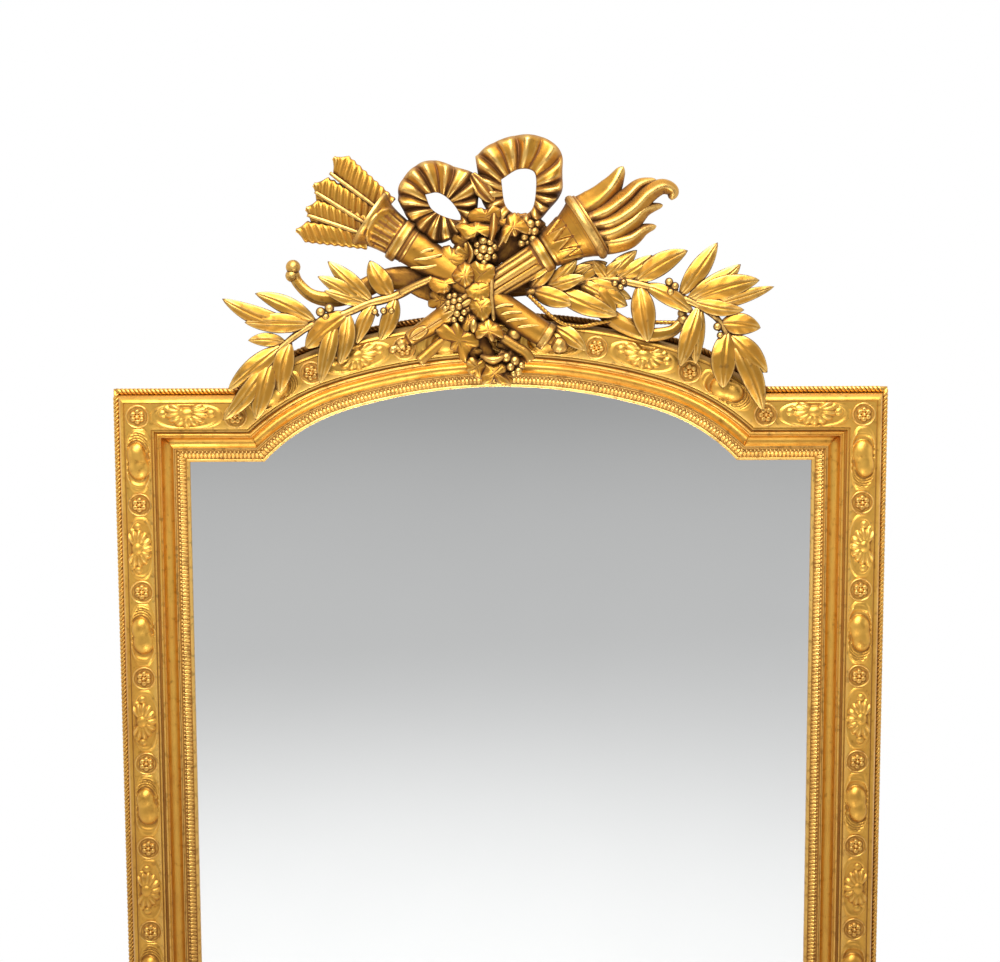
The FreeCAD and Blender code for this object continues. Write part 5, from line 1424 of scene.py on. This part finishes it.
class MIRROR_OT_flame(Operator):
    """Carves the flame of the torch"""
    bl_idname = "mirror.flame"
    bl_label = "Flame"

    def execute(self, context):
        carving = Carving()
        for points, widths, height, grooves in FLAMES:
            tongue(carving, points, widths, height, grooves, back=6.0, rows=90)
        place_piece("carved_flame", carving.mesh("carved_flame"), crest_gold(context), ["torch_flame"],
                    reach=0.006)
        return {"FINISHED"}


RIBBONS = (
    ("left", (-80, 253),
     ((-142, 262), (-139, 285), (-118, 309), (-92, 317), (-62, 308), (-32, 295), (-30, 262), (-38, 232),
      (-72, 206), (-95, 205), (-125, 232)),
     ((-104, 270), (-85, 272), (-66, 258), (-54, 236), (-74, 238), (-95, 250)), -6.0, 15),
    ("right", (27, 272),
     ((-34, 322), (-12, 339), (25, 351), (60, 348), (85, 328), (87, 300), (86, 272), (70, 250), (45, 228),
      (0, 232), (-24, 258), (-30, 295)),
     ((2, 290), (26, 304), (48, 300), (50, 272), (44, 248), (27, 241), (8, 254)), -4.0, 16),
)
KNOT = (((-38, 296, -2), (-26, 280, 6), (-8, 258, 6)), (12, 26, 16), 9.0, 1.0)


class MIRROR_OT_ribbons(Operator):
    """Carves the two pleated loops of ribbon"""
    bl_idname = "mirror.ribbons"
    bl_label = "Ribbons"

    def execute(self, context):
        for name, middle, outer, hole, rise, pleats in RIBBONS:
            turns = np.linspace(0.0, 2 * pi, 320, endpoint=False)
            far = outline_reach(outer, middle, turns)[:, None]
            near = outline_reach(hole, middle, turns)[:, None]
            share = np.linspace(0.0, 1.0, 26)[None, :]
            reach = near + (far - near) * share
            around = turns[:, None]
            wave = around * pleats + 1.3 * np.sin(around * 2.0 + 1.0) + 0.9 * np.sin(share * 3.0)
            fold = 2.0 * np.abs(np.sin(0.5 * wave)) ** 0.8 - 1.1 + 0.2 * np.sin(around * 23.0)
            depth = (2.2 + 4.0 * share) * fold
            swell = 13.0 * np.sin(pi * (0.12 + 0.76 * share)) ** 0.8
            front = rise + swell + depth - 7.0 * smooth_step(0.9, 1.0, share)
            x = middle[0] + np.cos(turns)[:, None] * reach
            z = middle[1] + np.sin(turns)[:, None] * reach
            face = np.stack([x, -(FRIEZE + front), SHOULDER + z], axis=-1)
            low = np.full((len(turns), 2), -(FRIEZE + (rise - 8.0)))
            back = np.stack([x[:, [-1, 0]], low, SHOULDER + z[:, [-1, 0]]], axis=-1)
            carving = Carving()
            carving.skin(np.concatenate([face, back], axis=1), ring=True)
            if name == "right":
                tongue(carving, *KNOT, back=8.0, rows=36)
            place_piece(f"carved_ribbon_{name}", carving.mesh(f"carved_ribbon_{name}"), crest_gold(context),
                        [f"ribbon_{name}"], reach=0.006)
        return {"FINISHED"}


BOW_LEFT = ((-40, 128, -24), (-80, 132, -22), (-125, 152, -19), (-165, 151, -19), (-200, 136, -19),
            (-235, 125, -20), (-265, 130, -22), (-285, 148, -24), (-291, 163, -24))
BOW_RIGHT = ((-40, 128, -26), (30, 140, -26), (90, 138, -24), (130, 119, -14), (165, 92, -4), (205, 75, -1),
             (238, 78, -3), (254, 91, -5))
BOW_LEFT_WIDTHS = (24, 30, 40, 34, 28, 28, 22, 17, 15)
BOW_RIGHT_WIDTHS = (24, 24, 24, 24, 24, 24, 20, 15)
BOW_KNOBS = ((-291, 170, -22, 10.4), (-293, 158, -22, 9.2), (257, 95, -2, 9.0), (255, 104, -2, 7.0))
STRING_STEPS = 300
STRING_SIDES = 16
STRING = ((40, 130, 4), (66, 105, 8), (88, 90, 6), (112, 86, 2), (138, 91, 0), (170, 96, -2), (205, 92, -3),
          (252, 91, -4))


class MIRROR_OT_bow(Operator):
    """Carves the bow and its string"""
    bl_idname = "mirror.bow"
    bl_label = "Bow and string"

    def execute(self, context):
        finish = crest_gold(context)
        carving = Carving()
        for points, widths in ((BOW_LEFT, BOW_LEFT_WIDTHS), (BOW_RIGHT, BOW_RIGHT_WIDTHS)):
            path = smooth_path([spot(*place) for place in points], 90)
            half = 0.5 * along(widths, 90)
            across = np.linspace(-1.0, 1.0, 17)[None, :]
            front = 7.0 * (1.0 - across ** 4) ** 0.5 + 0 * half[:, None]
            front = front - 1.1 * np.exp(-((np.abs(across) - 0.72) / 0.09) ** 2)
            relief_strip(carving, path, half, front, 6.0)
        for x, z, rise, size in BOW_KNOBS:
            ball(carving, spot(x, z, rise), size)
        place_piece("carved_bow", carving.mesh("carved_bow"), finish, ["archery_bow"])
        twine = Carving()
        path = smooth_path([spot(*place) for place in STRING], STRING_STEPS)
        turn = np.linspace(0.0, 2 * pi, STRING_SIDES, endpoint=False)[None, :]
        travel = np.arange(STRING_STEPS)[:, None] * np.linalg.norm(path[1] - path[0])
        tube(twine, path, 2.5 + 0.55 * np.abs(np.sin(turn + travel * 0.55)), sides=STRING_SIDES)
        place_piece("carved_string", twine.mesh("carved_string"), finish, ["bow_string"], reach=0.0015)
        return {"FINISHED"}


GARLAND_CORE = ((-26, 240, -14), (-26, 205, -10), (-34, 160, -8), (-36, 112, -6), (-28, 68, -6),
                (-14, 42, -4),
                (-6, 16, -6))
CORE_RADII = (8, 13, 18, 18, 16, 12, 6)
# How full the broad leaves, the small leaves and the grapes are, against their drawn size.
VINE_FULLNESS = 1.12
SPRIG_FULLNESS = 1.35
GRAPE_FULLNESS = 1.2
# Leaves of the garland: outline, middle, rise of the edge, swell, lean across and up.
BROAD_LEAVES = (
    (((-14, 168), (-14, 205), (-4, 232), (20, 240), (44, 238), (60, 224), (54, 212), (20, 188)),
     (14, 210), -9, 3,
     0.0, 0.0),
    (((-44, 239), (-38, 246), (-28, 250), (-18, 248), (-10, 253), (-1, 247), (-1, 236), (-4, 226),
      (-14, 227),
      (-26, 228), (-38, 230)), (-20, 238), 10, 7, 0.05, 0.2),
    (((-60, 224), (-52, 230), (-42, 228), (-32, 231), (-22, 228), (-8, 226), (-12, 216), (-19, 211),
      (-28, 215),
      (-36, 210), (-47, 209), (-52, 216)), (-33, 220), 17, 8, 0.0, -0.35),
    (((2, 208), (4, 222), (9, 230), (11, 238), (21, 242), (32, 234), (41, 221), (36, 215), (27, 217),
      (22, 212),
      (14, 212), (9, 203)), (18, 224), 13, 8, -0.1, -0.2),
    (((-81, 195), (-72, 198), (-66, 195), (-53, 191), (-49, 174), (-58, 165), (-65, 160), (-78, 163),
      (-88, 170),
      (-88, 184)), (-68, 180), 5, 7, 0.2, -0.1),
    (((-100, 149), (-96, 157), (-80, 154), (-65, 159), (-55, 152), (-58, 146), (-66, 147), (-70, 138),
      (-78, 134),
      (-90, 136), (-95, 141)), (-76, 147), 11, 8, 0.1, -0.35),
    (((-60, 149), (-65, 158), (-58, 169), (-48, 175), (-38, 170), (-35, 158), (-39, 147), (-48, 142)),
     (-49, 158), 17,
     11, 0.0, -0.2),
    (((-42, 170), (-34, 176), (-25, 173), (-11, 171), (-9, 158), (-15, 147), (-26, 144), (-38, 146),
      (-42, 157)),
     (-26, 159), 19, 6, 0.2, 0.1),
    (((-39, 148), (-26, 151), (-13, 149), (-10, 139), (-17, 127), (-30, 123), (-43, 130), (-46, 140)),
     (-28, 138), 19,
     8, -0.1, -0.25),
    (((-40, 128), (-28, 131), (-15, 127), (-11, 114), (-16, 103), (-24, 96), (-34, 103), (-43, 116)),
     (-27, 115), 19,
     8, 0.2, -0.15),
    (((-88, 81), (-76, 89), (-68, 86), (-61, 92), (-50, 80), (-37, 77), (-31, 62), (-40, 57), (-45, 50),
      (-48, 38),
      (-57, 45), (-60, 53), (-69, 57), (-69, 66), (-82, 71)), (-57, 68), 13, 7, 0.1, 0.15),
    (((-33, 88), (-19, 98), (-7, 92), (1, 83), (3, 72), (-6, 73), (-12, 67), (-20, 74), (-29, 71),
      (-34, 79)),
     (-16, 82), 22, 8, 0.0, -0.2),
    (((-46, 38), (-39, 44), (-31, 40), (-21, 42), (-18, 32), (-22, 25), (-28, 15), (-37, 19), (-45, 25)),
     (-32, 31), 13,
     6, -0.15, 0.1),
    (((-21, 36), (-8, 39), (4, 36), (8, 27), (3, 19), (10, 14), (11, 8), (2, 7), (-4, 11), (-9, 14),
      (-13, 9),
      (-22, 8), (-25, 18), (-22, 28)), (-8, 23), 15, 8, 0.0, -0.2),
)
# Small leaves tucked in behind: x, z, size, turn, rise, lean across and up.
SMALL_LEAVES = (
    (-50, 204, 15, 1.0, 2, 0.3, 0.1), (-44, 186, 15, 2.3, 6, -0.3, 0.2), (-6, 236, 15, 0.4, 4, 0.2, -0.2),
    (-84, 124, 14, 0.2, 0, 0.3, -0.1), (-60, 112, 18, 1.4, 4, 0.2, 0.2), (-44, 96, 14, 2.0, 10, 0.2, -0.3),
    (10, 58, 12, 0.9, 0, -0.2, 0.2), (-24, 54, 14, 1.8, -6, 0.0, 0.3), (14, 38, 16, 0.1, 4, -0.3, 0.0),
    (-40, 52, 12, 2.6, 4, 0.1, 0.3), (6, 20, 13, 1.1, 6, -0.2, -0.2), (-62, 140, 13, 0.6, 4, 0.0, 0.3),
    (46, 220, 15, 1.9, -8, -0.2, 0.1), (-22, 192, 18, 0.8, 2, 0.0, 0.2), (22, 80, 14, 2.4, -6, -0.2, 0.1),
)
FOLDS = (
    (((-8, 242, 16), (-9, 222, 22), (-13, 202, 18)), (7, 12, 5), 7, 0.5),
    (((10, 216, 16), (4, 207, 16), (-3, 196, 14)), (11, 10, 4), 6, 0.5),
    (((-11, 168, 17), (-12, 130, 20), (-9, 94, 20)), (7, 7, 6), 5, 0.0),
    (((-26, 46, 16), (-10, 41, 24), (6, 46, 16)), (6, 13, 6), 7, 0.0),
    (((-44, 172, 12), (-38, 188, 14), (-45, 206, 10)), (7, 9, 5), 5, 0.5),
)
GRAPES = (
    (-23, 205, 5.5, 18), (-14, 203, 4.5, 18), (-31, 200, 4.5, 16), (-23, 194, 5.5, 22), (-14, 192, 5, 20),
    (-32, 190, 4.5, 17), (-27, 184, 5, 19), (-18, 183, 5, 19), (-22, 176, 4, 18), (-9, 184, 4, 15),
    (-8, 197, 4, 16),
    (42, 228, 6, 8), (48, 218, 5.5, 8), (34, 211, 5, 8), (30, 202, 5.5, 4), (52, 229, 4.5, 6),
    (40, 219, 5, 9),
    (46, 208, 5, 7), (38, 203, 4, 4), (-70, 129, 4, 12), (-63, 130, 4, 13), (-64, 122, 4.5, 15),
    (-56, 124, 4, 16),
    (-72, 120, 4, 13), (-57, 115, 4.5, 18), (-66, 113, 4.5, 16), (-76, 112, 4, 12), (-50, 107, 4, 18),
    (-60, 105, 4.5, 17),
    (-70, 104, 4, 13), (-54, 98, 4, 17), (-64, 97, 4, 15), (8, 44, 6, 16), (20, 39, 6, 14), (14, 31, 5, 16),
    (25, 25, 5, 12), (29, 33, 4.5, 11), (18, 22, 4, 12), (19, 75, 9, 4),
)
CUT_STEMS = (((-72, 74, 4), (-95, 55, 6), (-114, 38, 8)), ((2, 72, 12), (22, 59, 12), (36, 50, 12),
                                                           (43, 39, 12)),
             ((-140, 133, -2), (-118, 144, 4), (-94, 154, 8)))


def vine_reach(size, turn):
    """Reach of a small five-lobed leaf round its middle."""
    around = np.linspace(0.0, 2 * pi, 90, endpoint=False) + turn
    return size * (0.62 + 0.38 * np.abs(np.cos(2.5 * around)) ** 0.6)


class MIRROR_OT_garland(Operator):
    """Carves the hanging garland of vine leaves and fruit"""
    bl_idname = "mirror.garland"
    bl_label = "Garland"

    def execute(self, context):
        finish = crest_gold(context)
        carving = Carving()
        core = smooth_path([spot(*place) for place in GARLAND_CORE], 60)
        tube(carving, core, along(CORE_RADII, 60), sides=24)
        turns = np.linspace(0.0, 2 * pi, 120, endpoint=False)
        for outline, middle, rise, swell, across, up in BROAD_LEAVES:
            reach = VINE_FULLNESS * outline_reach(outline, middle, turns)
            cushion(carving, reach, middle, rise, swell, (across, up), max(rise, 0) + 8.0)
        for x, z, size, turn, rise, across, up in SMALL_LEAVES:
            cushion(carving, vine_reach(SPRIG_FULLNESS * size, turn), (x, z), rise, 5.0, (across, up), 9.0)
        for points, widths, height, grooves in FOLDS:
            tongue(carving, points, widths, height, grooves, back=8.0, rows=30, cols=15)
        acorn = smooth_path([spot(-37, 79, 24), spot(-37, 98, 24)], 14)
        tube(carving, acorn, 5.4 * np.sin(np.linspace(0.1, pi - 0.1, 14)) ** 0.6, sides=16)
        for stem, radius in zip(CUT_STEMS, (7.5, 7.0, 5.0)):
            tube(carving, smooth_path([spot(*place) for place in stem], 16), radius, sides=16)
        fruit = [(spot(x, z, rise), GRAPE_FULLNESS * size) for x, z, size, rise in GRAPES]
        mesh = join_meshes(carving.mesh("carved_garland"), berries_mesh(fruit, finish))
        place_piece("carved_garland", mesh, finish, ["fruit_garland"], reach=0.003)
        return {"FINISHED"}


class MIRROR_OT_shade(Operator):
    """Marks the deep places of the crest with painted shade"""
    bl_idname = "mirror.shade"
    bl_label = "Deep places"

    def execute(self, context):
        crest = [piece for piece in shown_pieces() if piece.name in CREST_PIECES]
        arch = [bpy.data.objects["gilt_moulding_arch"]]
        mark_shade(crest, arch, SHADE_REACH, SHADE_RAYS)
        return {"FINISHED"}


class MIRROR_OT_back(Operator):
    """Finishes the glass, the timber at the back and its hardware"""
    bl_idname = "mirror.back"
    bl_label = "Glass and back"

    def execute(self, context):
        finish = context.scene.mirror_finish
        dark = darker(finish.pine, 0.45)
        upright = wood("pine_upright", finish.pine, dark, (160.0, 160.0, 9.0), "X", 0.6)
        lying = wood("pine_lying", finish.pine, dark, (9.0, 160.0, 160.0), "Z", 0.6)
        boards = wood("pine_boards", darker(finish.pine, 0.8), dark, (110.0, 110.0, 5.0), "X", 0.65)
        oak = wood("oak_dark", finish.oak, darker(finish.oak, 0.4), (220.0, 220.0, 30.0), "X", 0.5)
        brass = metal("old_brass", finish.brass, (0.20, 0.13, 0.05), 0.3)
        steel = metal("old_steel", finish.steel, (0.10, 0.07, 0.05), 0.4)
        glass = silvered_glass(finish.plate)
        finishes = (("mirror_glass", glass), ("backboard", boards), ("base_stile", upright), ("base_", lying),
                    ("corner_pegs", oak), ("turn_button_screws", steel), ("turn_button", oak),
                    ("hanger_screws", steel), ("hanger", brass), ("crest_screws", steel), ("crest_", upright),
                    ("glazing", lying))
        for name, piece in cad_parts.items():
            for start, made in finishes:
                if name.startswith(start):
                    piece.data.materials.clear()
                    piece.data.materials.append(made)
                    break
        return {"FINISHED"}


def hang_light(lamp, place, target):
    """Hangs a lamp at a place and aims it at a point."""
    item = bpy.data.objects.new(lamp.name, lamp)
    item.location = place
    item.rotation_euler = (Vector(target) - Vector(place)).to_track_quat("-Z", "Y").to_euler()
    bpy.context.scene.collection.objects.link(item)
    item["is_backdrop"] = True


def area_light(name, place, target, size, power):
    """A soft square light aimed at a point."""
    lamp = bpy.data.lights.new(name, "AREA")
    lamp.shape = "SQUARE"
    lamp.size = size
    lamp.energy = power
    hang_light(lamp, place, target)


class MIRROR_OT_stage(Operator):
    """Sets the floor, the lights and the camera"""
    bl_idname = "mirror.stage"
    bl_label = "Stage"

    def execute(self, context):
        stage = context.scene.mirror_stage
        floor = bpy.data.meshes.new("floor")
        floor.from_pydata([(-30, -60, 0), (30, -60, 0), (30, 1.2, 0), (-30, 1.2, 0)], [], [(0, 1, 2, 3)])
        ground = bpy.data.objects.new("floor", floor)
        context.scene.collection.objects.link(ground)
        material, tree, shader = new_material("floor_paper")
        where = where_on(tree)
        split = tree.nodes.new("ShaderNodeSeparateXYZ")
        wire(tree, where, split.inputs["Vector"])
        # Painted shade: the floor darkens away from the mirror, grey far off and white near, which the glass
        # reflects.
        far = ranged(tree, split.outputs["Y"], -4.0, -20.0)
        wire(tree, blend(tree, far, stage.floor_near, stage.floor_far), shader.inputs["Base Color"])
        shader.inputs["Roughness"].default_value = 0.9
        floor.materials.append(material)
        ground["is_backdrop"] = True
        area_light("key_light", (-0.6, -2.2, 3.4), (0.0, 0.0, 1.5), 2.0, stage.key_power)
        area_light("top_light", (0.2, -0.9, 3.4), (0.0, 0.0, 1.5), 1.4, stage.top_power)
        area_light("side_left", (-3.0, -1.2, 1.6), (0.0, 0.0, 1.2), 1.5, stage.fill_power)
        area_light("side_right", (3.0, -1.2, 1.6), (0.0, 0.0, 1.2), 1.5, stage.fill_power)
        lamp = bpy.data.lights.new("low_light", "SPOT")
        lamp.energy = stage.low_power
        lamp.spot_size = radians(56.0)
        lamp.spot_blend = 0.8
        lamp.shadow_soft_size = 0.25
        hang_light(lamp, (0.0, -0.95, 0.1), (0.0, 0.0, 1.42))
        world = bpy.data.worlds.new("studio")
        world.use_nodes = True
        sky = world.node_tree
        sky.nodes.clear()
        toward = sky.nodes.new("ShaderNodeTexCoord")
        parts = sky.nodes.new("ShaderNodeSeparateXYZ")
        wire(sky, toward.outputs["Generated"], parts.inputs["Vector"])
        behind = ranged(sky, parts.outputs["Y"], 0.1, -0.35)
        shade = sky.nodes.new("ShaderNodeBackground")
        wire(sky, blend(sky, behind, (1.0, 1.0, 1.0), (0.40, 0.40, 0.40)), shade.inputs["Color"])
        out = sky.nodes.new("ShaderNodeOutputWorld")
        wire(sky, shade.outputs["Background"], out.inputs["Surface"])
        context.scene.world = world
        context.scene.view_settings.view_transform = "Standard"
        lens = bpy.data.cameras.new("camera")
        lens.lens = stage.lens
        lens.sensor_width = 36.0
        camera = bpy.data.objects.new("camera", lens)
        camera.location = stage.camera_place
        camera.rotation_euler = Euler((pi / 2 - stage.camera_drop, stage.camera_roll, 0.0), "XYZ")
        context.scene.collection.objects.link(camera)
        context.scene.camera = camera
        return {"FINISHED"}


OPERATORS = (
    MIRROR_OT_moulding, MIRROR_OT_rope, MIRROR_OT_slip, MIRROR_OT_frieze, MIRROR_OT_laurels, MIRROR_OT_torch,
    MIRROR_OT_quiver, MIRROR_OT_arrows, MIRROR_OT_flame, MIRROR_OT_ribbons, MIRROR_OT_bow, MIRROR_OT_garland,
    MIRROR_OT_shade, MIRROR_OT_back, MIRROR_OT_stage,
)


class MIRROR_PT_panel(Panel):
    """Buttons for the pieces of the mirror"""
    bl_idname = "MIRROR_PT_panel"
    bl_label = "Giltwood mirror"
    bl_space_type = "VIEW_3D"
    bl_region_type = "UI"
    bl_category = "Mirror"

    def draw(self, context):
        for operator in OPERATORS:
            self.layout.operator(operator.bl_idname)


CLASSES = (MirrorSizes, MirrorFinish, MirrorStage, *OPERATORS, MIRROR_PT_panel)


def register():
    for item in CLASSES:
        bpy.utils.register_class(item)
    bpy.types.Scene.mirror_sizes = PointerProperty(type=MirrorSizes)
    bpy.types.Scene.mirror_finish = PointerProperty(type=MirrorFinish)
    bpy.types.Scene.mirror_stage = PointerProperty(type=MirrorStage)


def unregister():
    del bpy.types.Scene.mirror_stage
    del bpy.types.Scene.mirror_finish
    del bpy.types.Scene.mirror_sizes
    for item in reversed(CLASSES):
        bpy.utils.unregister_class(item)


def main():
    register()
    for operator in OPERATORS:
        group, name = operator.bl_idname.split(".")
        getattr(getattr(bpy.ops, group), name)()


if __name__ == "__main__":
    main()
